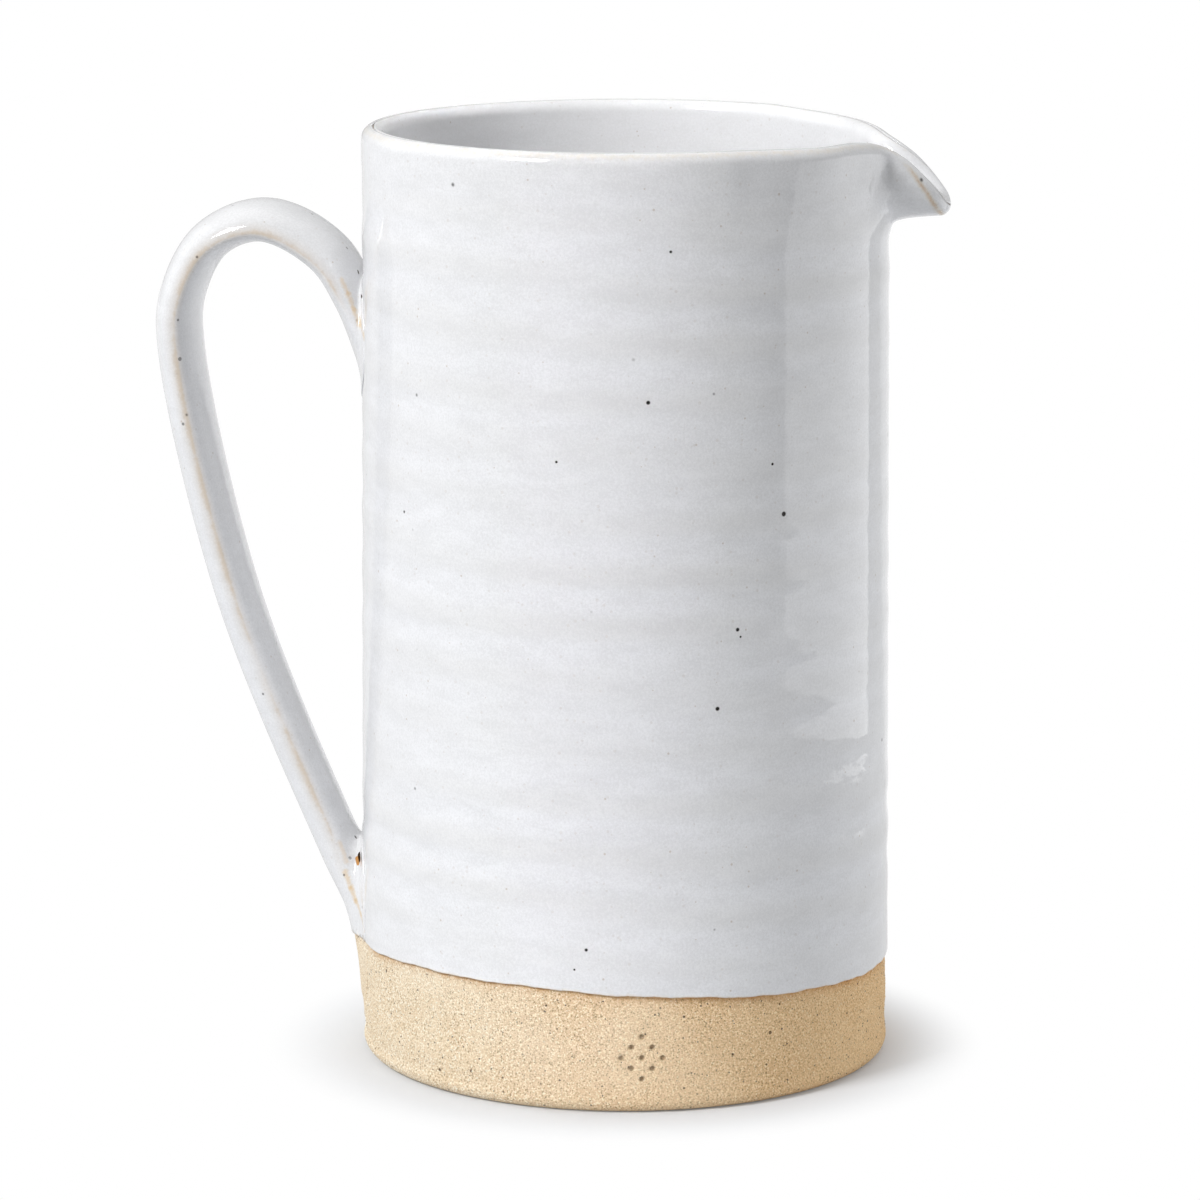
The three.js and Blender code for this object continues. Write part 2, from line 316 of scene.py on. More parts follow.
def seen_at(mesh, places):
    """Where the camera sees a mesh at places of the photograph: a list of points and normals, in metres."""
    shell = bmesh.new()
    shell.from_mesh(mesh)
    tree = BVHTree.FromBMesh(shell)
    found = [tree.ray_cast(*ray_through(*place))[:2] for place in places]
    shell.free()
    return found


def smoothstep(value, low, high):
    share = np.clip((value - low) / (high - low), 0, 1)
    return share * share * (3 - 2 * share)


print("Mesh helpers ready")

# %% [markdown]
# ## The glaze
# The white glaze is a thin layer of glass full of fine white crystals, so it is white underneath and glossy
# on top. Iron in the clay bleeds through as fine tan specks and a few large black ones. Where the glaze runs
# thin, on edges and ridges, the clay shows through as toasted brown. Each mesh carries a `thin` attribute
# that says where, so the colour follows the shape, and noise breaks that line up as it does on the real pot.
# An image texture could hold the specks, but it would stretch; noise and cells in space fit every piece.

# %% Helpers for finishes
def new_material(name):
    made = bpy.data.materials.new(name)
    made.use_nodes = True
    made.node_tree.nodes.clear()
    return made, Tree(made.node_tree)


def specks(tree, place, cell, share, radius):
    """Round specks: one in each cell of a grid of about this size in metres, kept in a share of the cells."""
    options = {"Vector": place, "Scale": 1 / cell, "Randomness": 1.0}
    dots = tree.outputs("ShaderNodeTexVoronoi", options, feature="F1")
    pick = tree.outputs("ShaderNodeSeparateColor", {0: dots["Color"]})
    inside = tree.ramp(pick["Green"] * (radius / cell) - dots["Distance"], -0.02, 0.05)
    return inside * tree.maths("LESS_THAN", pick["Red"], share)


def ragged(tree, value, place, scale, detail, amount):
    """A value with its edge broken up by noise."""
    return value + (tree.noise(place, scale, detail, 0.7) * amount - amount / 2)


def near_line(tree, place, start, end):
    """Distance from the shaded point to a straight line between two places."""
    run = Vector(end) - Vector(start)
    offset = tree.vector("SUBTRACT", place, start)
    along = tree.vector("DOT_PRODUCT", offset, run / run.length_squared)
    along = tree.node("ShaderNodeClamp", {"Value": along})
    return tree.vector("DISTANCE", offset, tree.vector("SCALE", run, along))


print("Finish helpers ready")

# %% Glaze material
GLAZE_WHITE = (0.82, 0.825, 0.845, 1)
GLAZE_GREY = (0.775, 0.775, 0.78, 1)
GLAZE_SHADE = (0.61, 0.61, 0.615, 1)
TOASTED = (0.50, 0.30, 0.13, 1)
CREAM = (0.72, 0.66, 0.56, 1)
EDGE_TAN = (0.56, 0.43, 0.28, 1)
SPECK_TAN = (0.36, 0.25, 0.15, 1)
SPECK_BLACK = (0.018, 0.013, 0.011, 1)
# painted shade inside the holes
HOLE_PAINTED_SHADE = (0.03, 0.014, 0.006, 1)
STREAK_ORANGE = (0.66, 0.44, 0.17, 1)
GLAZE_SPECKS = (  # cell in metres, share of the cells, largest radius in metres, strength, colour
    (0.0017, 0.6, 0.0004, 0.13, SPECK_TAN),
    (0.0028, 0.55, 0.00034, 0.42, SPECK_TAN),
    (0.0085, 0.35, 0.0006, 0.85, SPECK_BLACK))
CLOUDS, DRAWN_CLOUDS, FINE_CLOUDS = 55, (110, 110, 330), 1900  # scales of noise, per metre


def glaze_ground(tree, place, white, grey, shade):
    """White glass, greyer on the crests of the throwing rings and clouded by fine crystals."""
    ridge = tree.attribute("relief") + (tree.noise(place, CLOUDS, 3) * 2.0 - 1.0)
    colour = tree.mix(tree.ramp(ridge, -1.2, 1.5), white, grey)
    drawn = tree.vector("MULTIPLY", place, DRAWN_CLOUDS)
    clouded = tree.noise(drawn, 1, 2, 0.6) * 0.4 + tree.noise(place, FINE_CLOUDS, 3, 0.8)
    return tree.mix(tree.ramp(clouded, 0.48, 0.92, 0.5, 0.0), colour, shade)


def glaze_edges(tree, place, thin, colour):
    """Cream and toasted brown where the glaze is thin, tan along the edges of the strap."""
    torn = ragged(tree, thin, place, 700, 3, 0.9)
    colour = tree.mix(tree.ramp(torn, 0.15, 0.7, 0, 0.55), colour, CREAM)
    colour = tree.mix(tree.ramp(torn, 0.55, 1.15, 0, 0.85), colour, TOASTED)
    edge = tree.attribute("edge") * tree.ramp(tree.noise(place, 60, 3, 0.6), 0.3, 0.62, 0.45, 1.0)
    colour = tree.mix(tree.ramp(edge, 0.0, 1.0, 0, 0.3), colour, EDGE_TAN)
    frayed = ragged(tree, edge, place, 1100, 2, 0.5)
    return tree.mix(tree.ramp(frayed, 0.55, 1.0, 0, 0.45), colour, EDGE_TAN)


def make_glaze(name, spots=(), streaks=(), holes=(), white=GLAZE_WHITE, grey=GLAZE_GREY, shade=GLAZE_SHADE):
    made, tree = new_material(name)
    place = tree.node("ShaderNodeTexCoord", out="Object")
    thin = tree.attribute("thin")
    colour = glaze_edges(tree, place, thin, glaze_ground(tree, place, white, grey, shade))
    for start, end, size, amount in streaks:
        worn = ragged(tree, near_line(tree, place, start, end) / size, place, 1500, 2, 1.6)
        colour = tree.mix(tree.ramp(worn, 1.3, 0.0, 0, amount), colour, STREAK_ORANGE)
    for cell, share, radius, strength, tone in GLAZE_SPECKS:
        colour = tree.mix(specks(tree, place, cell, share, radius) * strength, colour, tone)
    for centre, size, amount in spots:
        gap = tree.vector("DISTANCE", place, centre)
        colour = tree.mix(tree.ramp(gap, size * 1.3, size * 0.8, 0, amount), colour, SPECK_BLACK)
    # painted shade: holes are darkened nearly to black and lose their gloss; toasted holes show bare clay
    hole_clay_and_shade = tree.attribute("pinhole")
    colour = tree.mix(hole_clay_and_shade, colour, HOLE_PAINTED_SHADE)
    for start, end, size, tone in holes:
        inside = tree.ramp(near_line(tree, place, start, end), size, size * 0.8)
        colour = tree.mix(inside, colour, tone)
        hole_clay_and_shade = tree.maths("MAXIMUM", hole_clay_and_shade, inside)
    skin = tree.noise(place, 230, 2) * 0.7 + tree.noise(place, 900, 1) * 0.12
    bump = tree.node("ShaderNodeBump", {"Strength": 0.22, "Distance": 0.0004, "Height": skin})
    roughness = tree.maths("MAXIMUM", tree.ramp(thin, 0.2, 1.0, 0.03, 0.34), hole_clay_and_shade)
    shader = tree.node("ShaderNodeBsdfPrincipled", {
        "Base Color": colour, "Roughness": roughness, "IOR": 1.55, "Normal": bump,
        "Specular IOR Level": 0.5 - hole_clay_and_shade * 0.5})
    tree.add("ShaderNodeOutputMaterial", {"Surface": shader})
    return made


print("Glaze recipe ready, with %d sizes of specks" % len(GLAZE_SPECKS))

# %% [markdown]
# ## The bare clay
# Below the glaze line the stoneware is unglazed: a warm sandy tan with pale quartz and dark iron grains, dry
# to the touch. The clay itself has no gloss, and only the quartz grains glint. The `toast` attribute darkens
# the clay to orange beside the glaze, where the flame catches the edge. Painted light runs across the foot as
# a
# tint: paler on the lit left side, warmer and darker on the shaded right side.

# %% Clay and slip materials
CLAY_TAN = (0.75, 0.555, 0.345, 1)
CLAY_PALE = (0.97, 0.85, 0.65, 1)
CLAY_DARK = (0.30, 0.19, 0.09, 1)
CLAY_IRON = (0.10, 0.055, 0.028, 1)
QUARTZ = (0.96, 0.85, 0.65, 1)
CLAY_TOAST = (0.52, 0.26, 0.09, 1)
SLIP_TAN = (0.56, 0.37, 0.19, 1)
LIT_SIDE_PALE_TINT = (1.0, 1.08, 1.2, 1)  # painted light: the paler tint of the lit side and the warmer tint of the shaded side
SHADED_SIDE_WARM_TINT = (1.04, 0.92, 0.75, 1)
LIT_TO_SHADED_REACH = 0.06  # metres to both sides of the axis, over which the painted light changes
GRAIN_FROM = (0.05, 0.15)  # the `grain` attribute is 0 on the clay and more than this on grit
IRON_FROM = 0.92  # grains above this value are iron, the rest quartz


def make_clay(name, ground):
    made, tree = new_material(name)
    place = tree.node("ShaderNodeTexCoord", out="Object")
    sand = tree.noise(place, 2500, 2, 0.65)
    colour = tree.mix(tree.ramp(sand, 0.31, 0.46), CLAY_DARK, ground)
    colour = tree.mix(tree.ramp(sand, 0.54, 0.64), colour, CLAY_PALE)
    colour = tree.mix(tree.ramp(tree.noise(place, 45, 3), 0.35, 0.7, 0, 0.25), colour, CLAY_PALE)
    colour = tree.mix(specks(tree, place, 0.0026, 0.35, 0.00048) * 0.95, colour, CLAY_IRON)
    grain = tree.attribute("grain")
    kind = tree.mix(tree.maths("GREATER_THAN", grain, IRON_FROM), QUARTZ, CLAY_IRON)
    colour = tree.mix(tree.ramp(grain, *GRAIN_FROM), colour, kind)
    toast = tree.attribute("toast") * tree.ramp(tree.noise(place, 500, 2), 0.3, 0.6, 0.4, 1)
    colour = tree.mix(toast, colour, CLAY_TOAST)
    # painted shade: pressed dots and holes are darkened with the iron colour
    colour = tree.mix(tree.attribute("pinhole"), colour, CLAY_IRON)
    # painted light: the foot is paler on its lit left side, warmer and darker on its shaded right side
    toward_shaded_side = tree.vector("DOT_PRODUCT", place, to_right)
    painted_shading = tree.mix(tree.ramp(toward_shaded_side, -LIT_TO_SHADED_REACH, LIT_TO_SHADED_REACH), LIT_SIDE_PALE_TINT, SHADED_SIDE_WARM_TINT)
    bump = tree.node("ShaderNodeBump", {"Strength": 0.95, "Distance": 0.0002, "Height": sand})
    shader = tree.node("ShaderNodeBsdfPrincipled", {
        "Base Color": tree.vector("MULTIPLY", colour, painted_shading), "Normal": bump,
        "Roughness": tree.ramp(grain, *GRAIN_FROM, 0.88, 0.35),
        "Specular IOR Level": tree.ramp(grain, *GRAIN_FROM, 0.1, 0.7)})
    tree.add("ShaderNodeOutputMaterial", {"Surface": shader})
    return made


bare_clay = make_clay("bare_clay", CLAY_TAN)
dried_slip = make_clay("dried_slip", SLIP_TAN)
print("Clay materials:", bare_clay.name, dried_slip.name)

# %% [markdown]
# ## Throwing on the wheel
# A thrown wall is a profile spun round an axis, with a shallow spiral left by the fingers. That is a rule, so
# Geometry Nodes make it: the tree spins any profile, crowds the columns towards the spout where the shape is
# finest, and presses the spiral rings in. The same tree throws the clay and both coats of glaze. A Screw
# modifier could spin the profile too, but it has no place for the rings.

# %% The wheel, as a node tree
RELIEF_TOP = 1.9  # crests are cut off here, in ring depths, and this level lies on the wall


def build_wheel():
    tree = group_with(
        "throw_on_wheel", Int=["Columns"], Material=["Finish"],
        Float=["Crowding", "Ring Pitch", "Ring Depth", "Ring Wander", "Ring Unevenness"])
    given = tree.outputs("NodeGroupInput")
    profile = given["Geometry"]
    count = tree.outputs("GeometryNodeAttributeDomainSize", {"Geometry": profile}, component="MESH")
    rows = count["Point Count"]
    sides = {"Size X": 1.0, "Size Y": 1.0, "Vertices X": given["Columns"] + 1, "Vertices Y": rows}
    grid = tree.node("GeometryNodeMeshGrid", sides, "Mesh")
    here = tree.node("GeometryNodeInputPosition")
    on_grid = tree.outputs("ShaderNodeSeparateXYZ", {0: here})
    row = tree.maths("ROUND", (on_grid["Y"] + 0.5) * (rows - 1))

    def on_profile(value, kind):
        inputs = {"Geometry": profile, "Value": value, "Index": row}
        return tree.node("GeometryNodeSampleIndex", inputs, data_type=kind)

    side = tree.node("GeometryNodeInputNamedAttribute", {"Name": "ring_side"}, data_type="FLOAT")
    side = on_profile(side, "FLOAT")
    point = tree.outputs("ShaderNodeSeparateXYZ", {0: on_profile(here, "FLOAT_VECTOR")})
    even = on_grid["X"] * TURN
    angle = even - given["Crowding"] * tree.maths("SINE", even)
    across, along = tree.maths("COSINE", angle), tree.maths("SINE", angle)
    turns = point["Z"] / given["Ring Pitch"] * TURN
    wander = given["Ring Wander"] * tree.maths("SINE", angle + 1.0)
    spiral = tree.maths("SINE", turns + angle + wander)
    quick = tree.maths("SINE", turns * 1.27 - angle)
    swell = tree.maths("SINE", turns * 0.21 + 2.0) * 0.35 + 0.65
    level = point["Z"] / MM * given["Ring Unevenness"]
    ringed = tree.node("ShaderNodeCombineXYZ", {"X": across, "Y": along, "Z": level})
    uneven = tree.noise(ringed, 1.0, 2.0, 0.6) * 1.8 - 0.9
    relief = tree.maths("MINIMUM", (quick * 0.4 + spiral) * swell * 1.1 + uneven, RELIEF_TOP)
    radius = point["X"] + (relief - RELIEF_TOP) * side * given["Ring Depth"]
    spun = tree.node("ShaderNodeCombineXYZ", {"X": radius * across, "Y": radius * along, "Z": point["Z"]})
    kept = tree.store(grid, "relief", relief * tree.maths("ABSOLUTE", side))
    wall = tree.node("GeometryNodeSetPosition", {"Geometry": kept, "Position": spun})
    closed = tree.node("GeometryNodeMergeByDistance", {"Geometry": wall, "Distance": 2e-6})
    finish_tree(tree, closed, given["Finish"])
    return tree


wheel = build_wheel()
print("Wheel inputs:", list(wheel.identifiers))

# %% Throwing one profile
COLUMNS = 240
COLUMN_CROWDING = 0.65
RING_PITCH = 13.0
RING_DEPTH = 0.12
RING_WANDER = 0.8
RING_UNEVENNESS = 0.22  # uneven rings per millimetre of height
RING_FADE = (3.0, 10.0)  # the rings fade out this far below the rim


def throw(name, runs, finish):
    """Spins runs of (radius, height) points. A run's side of 1 faces out and takes the rings, -1 faces in."""
    profile = np.vstack([run for run, _ in runs])
    sides = np.concatenate([np.full(len(run), side) for run, side in runs])
    fade = smoothstep(RIM_CENTRE - profile[:, 1], *RING_FADE)
    made = polyline_object(name, np.insert(profile, 1, 0, axis=1), {"ring_side": sides * fade})
    run_tree(made, wheel, {
        "Columns": COLUMNS, "Crowding": COLUMN_CROWDING, "Ring Pitch": RING_PITCH * MM,
        "Ring Depth": RING_DEPTH * MM, "Ring Wander": RING_WANDER, "Ring Unevenness": RING_UNEVENNESS,
        "Finish": finish})
    with opened(made.data) as shell:
        bmesh.ops.recalc_face_normals(shell, faces=shell.faces)
    print("%s: %d faces" % (name, len(made.data.polygons)))
    return made


def arc(x, z, radius, start, end, steps):
    angle = np.linspace(start, end, steps + 1)
    return np.column_stack([x + radius * np.cos(angle), z + radius * np.sin(angle)])


def rim_arc(radius, start, end, steps):
    return arc(middle_radius(RIM_CENTRE), RIM_CENTRE, radius, start, end, steps)


def corner_arc(radius, start, end, steps):
    """The corner between the inner wall and the floor."""
    height = FLOOR + FLOOR_CORNER
    return arc(inner_radius(height) - FLOOR_CORNER, height, radius, start, end, steps)


def upright(radius_rule, heights, offset=0.0):
    heights = np.asarray(heights, float)
    return np.column_stack([radius_rule(heights) + offset, heights])


print("Columns round the pot:", COLUMNS)

# %% [markdown]
# ## Pulling the spout
# While the clay is wet, two fingers hold the rim and a third strokes the wall between them outwards. The rim
# sags a little on both sides and runs out into a beak. A sculpt brush could push it by hand, but a rule is
# the same every time: the lip is a smooth curve through a few points, and each column of the wall bends from
# upright towards its point on the lip. Every coat goes through the same rule, so they stay parallel.

# %% Helpers for curves
def lengths_along(chain):
    return np.concatenate([[0], np.cumsum(np.linalg.norm(np.diff(chain, axis=0), axis=1))])


def walk(chain, distances):
    """The points at these distances along a chain of points."""
    run = lengths_along(chain)
    return np.column_stack([np.interp(distances, run, chain[:, axis]) for axis in range(3)])


def smooth_curve(points, per_span):
    """A curve through all points, with the centripetal spacing that avoids loops."""
    p = np.asarray(points, float)
    p = np.vstack([2 * p[0] - p[1], p, 2 * p[-1] - p[-2]])
    pieces = []
    for a, b, c, d in zip(p, p[1:], p[2:], p[3:]):
        t1 = math.sqrt(np.linalg.norm(b - a))
        t2 = t1 + math.sqrt(np.linalg.norm(c - b))
        t3 = t2 + math.sqrt(np.linalg.norm(d - c))
        t = np.linspace(t1, t2, per_span, endpoint=False)[:, None]
        ab = (a * (t1 - t) + b * t) / t1
        bc = (b * (t2 - t) + c * (t - t1)) / (t2 - t1)
        cd = (c * (t3 - t) + d * (t - t2)) / (t3 - t2)
        abc = (ab * (t2 - t) + bc * t) / t2
        bcd = (bc * (t3 - t) + cd * (t - t1)) / (t3 - t1)
        pieces.append((abc * (t2 - t) + bcd * (t - t1)) / (t2 - t1))
    return np.vstack(pieces + [p[-2]])


print("Curve helpers ready")

# %% The lip curve
SPOUT_DEPTH = 24.0
SPOUT_SPREAD = math.radians(60)
LIP_THINNING = 0.1
UPRIGHT_SHARE = 0.85
LEVEL_SHARE = 0.75
LEVEL_RISE = 0.06
SPOUT_OUT = 14.4  # of the tip, out of the rim's circle
SPOUT_FALL = 14.4  # of the tip, below the rim
LIP_ROUTE = (  # out of the rim's circle, half width, fall below the rim
    (13.4, 4.8, 13.1), (9.4, 7.7, 8.7), (6.2, 8.5, 5.7), (3.4, 9.3, 3.8), (0.6, 11.5, 2.4))
RIM_SAG = ((0.32, 1.2), (0.6, 0.8), (1.0, 0.0))  # share of the spread, fall below the rim
BEND_START = RIM_CENTRE - SPOUT_DEPTH

rim_circle = middle_radius(RIM_CENTRE)
lip_side = [(rim_circle + out, half, RIM_CENTRE - fall) for out, half, fall in LIP_ROUTE]
for share, fall in RIM_SAG:
    turn = share * SPOUT_SPREAD
    lip_side.append((rim_circle * math.cos(turn), rim_circle * math.sin(turn), RIM_CENTRE - fall))
lip_tip = (rim_circle + SPOUT_OUT, 0.0, RIM_CENTRE - SPOUT_FALL)
lip_line = smooth_curve([(x, -y, z) for x, y, z in reversed(lip_side)] + [lip_tip] + lip_side, 60)
lip_length = lengths_along(lip_line)[-1]
print("Lip of the spout: %.1f mm long" % lip_length)

# %% The pull
def lip_at(angle):
    return walk(lip_line, np.clip((angle / SPOUT_SPREAD + 1) / 2, 0, 1) * lip_length)


def pulled_wall(angle, share):
    """Middle of the clay in the column at an angle: it leaves the wall upright and ends on the lip."""
    foot = middle_radius(BEND_START)
    start = np.column_stack([foot * np.cos(angle), foot * np.sin(angle), np.full_like(angle, BEND_START)])
    end = lip_at(angle)
    run = end - start
    bend = (RIM_CENTRE - end[:, 2]) / SPOUT_FALL
    even = 1 / 3
    first = start.copy()
    first[:, 2] += run[:, 2] * (even + (UPRIGHT_SHARE - even) * bend)
    arrival = run * (even + (LEVEL_SHARE - even) * bend)[:, None]
    arrival[:, 2] = run[:, 2] * (even + (LEVEL_RISE - even) * bend)
    second = end - arrival
    t = share[:, None]
    early = (1 - t) ** 3 * start + 3 * (1 - t) ** 2 * t * first
    return early + 3 * (1 - t) * t ** 2 * second + t ** 3 * end


def pull_spout(points):
    points = points.copy()
    angle = np.arctan2(points[:, 1], points[:, 0])
    moved = (points[:, 2] > BEND_START) & (np.abs(angle) < SPOUT_SPREAD)
    wet, angle = points[moved], angle[moved]
    height = np.minimum(wet[:, 2], RIM_CENTRE)
    share = (height - BEND_START) / SPOUT_DEPTH
    step = 1e-3
    around = pulled_wall(angle + step, share) - pulled_wall(angle - step, share)
    around /= np.linalg.norm(around, axis=1)[:, None]
    rise = pulled_wall(angle, share + step) - pulled_wall(angle, share - step)
    out = np.cross(around, rise)
    out /= np.linalg.norm(out, axis=1)[:, None]
    up = np.cross(out, around)
    thinned = 1 - LIP_THINNING * (RIM_CENTRE - lip_at(angle)[:, 2]) / SPOUT_FALL * share
    offset = thinned * (np.hypot(wet[:, 0], wet[:, 1]) - middle_radius(height))
    lift = thinned * (wet[:, 2] - height)
    points[moved] = pulled_wall(angle, share) + out * offset[:, None] + up * lift[:, None]
    return points


print("The pull moves the wall above %.1f mm" % BEND_START)

# %% [markdown]
# ## The glaze line
# The pot was held upside down and dipped, a little tilted, so the edge of the glaze is a tilted, slightly
# wavy line. A boolean could cut the coat there, but moving its lowest rows onto the line keeps clean quads.

# %% Where the glaze ends
GLAZE_LINE = 24.0
GLAZE_TILT = 4.5
GLAZE_TILT_ANGLE = math.radians(-112)
GLAZE_RIPPLES = ((0.13, 11, 2.1), (0.104, 27, 0.9), (0.078, 61, 0.3))  # height, waves per turn, start
DIP_REACH = 60.0  # the rows below this height follow the line


def glaze_plane(x, y):
    along = x * math.cos(GLAZE_TILT_ANGLE) + y * math.sin(GLAZE_TILT_ANGLE)
    return GLAZE_LINE + GLAZE_TILT * along / FOOT_RADIUS


def glaze_line_at(x, y):
    """The tilted plane with slow waves on the front and fine ripples, calm under the handle."""
    angle = np.arctan2(y, x)
    slow = 0.94 + 1.86 * np.cos(angle - 1.077) + 1.31 * np.sin(2 * angle - 0.545)
    ripple = sum(height * np.sin(waves * angle + start) for height, waves, start in GLAZE_RIPPLES)
    calm = smoothstep(np.abs(np.abs(angle) - math.pi), math.radians(14), math.radians(26))
    return glaze_plane(x, y) + (slow * (1 - smoothstep(angle, 0.1, 0.9)) + ripple) * calm


def dip(points):
    """Slides the lowest rows of the outer coat onto the tilted, wavy line."""
    points = points.copy()
    low = points[:, 2] < DIP_REACH
    x, y, z = points[low].T
    points[low, 2] = z + (glaze_line_at(x, y) - GLAZE_LINE) * (DIP_REACH - z) / (DIP_REACH - GLAZE_LINE)
    return points


print("Glaze line from %.1f to %.1f mm" % (GLAZE_LINE - GLAZE_TILT, GLAZE_LINE + GLAZE_TILT))

# %% [markdown]
# ## The clay body
# The body is one closed shell of clay: underside, foot, wall, rim, inner wall and floor. Only its foot shows,
# so the rows lie close together there and far apart under the glaze. The underside is hollowed by half a
# millimetre, as potters do to stop a pot from rocking; that is a guess, because the photograph hides it.

# %% Clay profile
BAND_TOP = 34.0  # the fine rows of the bare band end above the glaze line
FOOT_HOLLOW = 0.5
FOOT_RING = (46.0, 53.0)  # the hollow ends between these radii
QUARTER = math.pi / 2

under = np.linspace(0, outer_radius(FOOT_EDGE) - FOOT_EDGE, 40)
hollow = FOOT_HOLLOW * (1 - smoothstep(under, *FOOT_RING))
grooves = 0.06 * np.sin(under * 2.1) * (hollow > 0.3)
body = throw("thrown_body_clay", [
    (np.column_stack([under, hollow + grooves]), 0),
    (arc(outer_radius(FOOT_EDGE) - FOOT_EDGE, FOOT_EDGE, FOOT_EDGE, -QUARTER, 0, 10)[1:], 0),
    (upright(outer_radius, np.arange(FOOT_EDGE + 0.8, BAND_TOP, 0.8)), 1),
    (upright(outer_radius, np.arange(BAND_TOP, BEND_START, 2.5)), 1),
    (upright(outer_radius, np.linspace(BEND_START, RIM_CENTRE, 28)[:-1]), 1),
    (rim_arc(RIM_HALF, 0, math.pi, 14), 0),
    (upright(inner_radius, np.linspace(RIM_CENTRE, BEND_START, 28)[1:]), -1),
    (upright(inner_radius, np.arange(BEND_START - 4, FLOOR + FLOOR_CORNER, -4)), -1),
    (corner_arc(FLOOR_CORNER, 0, -QUARTER, 8), 0),
    (np.column_stack([np.linspace(40, 0, 6), np.full(6, FLOOR)]), 0),
], bare_clay)
set_points(body.data, pull_spout(get_points(body.data)))

# %% Scorched clay beside the glaze line
TOAST_REACH = 0.8
x, y, z = get_points(body.data).T
set_floats(body.data, "toast", np.exp(-np.abs(z - glaze_line_at(x, y)) / TOAST_REACH))
print("Glaze line marked on the clay")

# %% [markdown]
# ## A mark in the foot
# Potters press a small stamp into the foot while the clay is soft. This one is a plain lozenge of nine dots.
# A Boolean could cut the dots, but a pressed dot has rounded edges: the faces around it are divided and the
# middle is pushed in, and its bottom gets painted shade. The camera's ray finds the place on the clay.

# %% Pressing dots
MARK_IN_PHOTO = (642, 1058)
MARK_STEP = 10.5  # columns or rows of the photograph between neighbouring dots
DOT = (0.62, 0.62, 0.55)  # half width, half height and depth, in millimetres
# painted shade at the bottom of each dot
DOT_PAINTED_SHADE = 0.55


def press_hole(mesh, column, row, half_width, half_height, depth, painted_shading=1.0):
    """Divides the faces at a place of the photograph, sinks the middle and marks it as `pinhole`, the painted
    shade of the hole.
    """
    (place, normal), = seen_at(mesh, [(column, row)])
    upward = (Vector((0, 0, 1)) - normal * normal.z).normalized()
    sideways = upward.cross(normal)
    with opened(mesh) as shell:
        pinhole = shell.verts.layers.float.get("pinhole") or shell.verts.layers.float.new("pinhole")
        reach = 2.5 * half_height * MM
        for _ in range(3):
            middles = [(edge, (edge.verts[0].co + edge.verts[1].co) / 2) for edge in shell.edges]
            near = [edge for edge, middle in middles if (middle - place).length < reach]
            bmesh.ops.subdivide_edges(shell, edges=near, cuts=1, use_grid_fill=True)
            reach *= 0.75
        for vertex in shell.verts:
            gap = vertex.co - place
            if gap.length > 4 * half_height * MM:
                continue
            radius = math.hypot(gap.dot(sideways) / half_width, gap.dot(upward) / half_height) / MM
            inside = float(1 - smoothstep(radius, 0.75, 1.15))
            vertex.co -= normal * depth * MM * inside
            vertex[pinhole] = max(vertex[pinhole], inside * painted_shading)
        settle(shell)


for across in (-1, 0, 1):
    for along in (-1, 0, 1):
        column = MARK_IN_PHOTO[0] + MARK_STEP * (across - along)
        row = MARK_IN_PHOTO[1] + MARK_STEP * (across + along)
        press_hole(body.data, column, row, *DOT, DOT_PAINTED_SHADE)
print("Clay with its mark: %d faces" % len(body.data.polygons))

# %% [markdown]
# ## Grit
# The clay is coarse: sponging the foot washed the fine clay away and left grains of sand standing proud.
# Thousands of small grains on a surface are what Geometry Nodes are for: points are strewn over the band, and
# each one carries a lump of twenty faces, turned and stretched at random. Most are quartz, a few are iron.

# %% Strewing grit over the foot
GRIT_PER_MM2 = 0.75
GRIT_SIZES = (0.07, 0.24)
GRIT_SEED = 7


def build_grit():
    tree = group_with(
        "strew_grit", Float=["Density", "Smallest", "Largest"], Int=["Seed"], Material=["Finish"])
    given = tree.outputs("NodeGroupInput")
    seed = given["Seed"]
    strewn = tree.outputs("GeometryNodeDistributePointsOnFaces", {
        "Mesh": given["Geometry"], "Density": given["Density"], "Seed": seed})
    lump = tree.node("GeometryNodeMeshIcoSphere", {"Radius": 1.0, "Subdivisions": 1}, "Mesh")
    sizes = {2: given["Smallest"], 3: given["Largest"], "Seed": seed}
    size = tree.node("FunctionNodeRandomValue", sizes, 1, data_type="FLOAT")
    shapes = {0: (0.7, 0.7, 0.4), 1: (1.3, 1.3, 0.7), "Seed": 11}
    shape = tree.node("FunctionNodeRandomValue", shapes, data_type="FLOAT_VECTOR")
    grains = tree.node("GeometryNodeInstanceOnPoints", {
        "Points": strewn["Points"], "Instance": lump, "Rotation": strewn["Rotation"],
        "Scale": tree.vector("SCALE", shape, size)})
    kind = tree.node("FunctionNodeRandomValue", {2: 0.2, 3: 1.0, "Seed": 5}, 1, data_type="FLOAT")
    finish_tree(tree, tree.store(grains, "grain", kind, "INSTANCE"), given["Finish"])
    return tree


def on_bare_band(face):
    x, y, z = face.calc_center_median() / MM
    return math.hypot(x, y) > FOOT_RADIUS - 1.2 and 1.0 < z < glaze_line_at(x, y) - 0.5


grit = put_in_scene("foot_grit", body.data.copy())
with opened(grit.data) as band:
    covered = [face for face in band.faces if not on_bare_band(face)]
    bmesh.ops.delete(band, geom=covered, context="FACES")
run_tree(grit, build_grit(), {
    "Density": GRIT_PER_MM2 / MM ** 2, "Smallest": GRIT_SIZES[0] * MM, "Largest": GRIT_SIZES[1] * MM,
    "Seed": GRIT_SEED, "Finish": bare_clay})
print("Grit: %d faces" % len(grit.data.polygons))

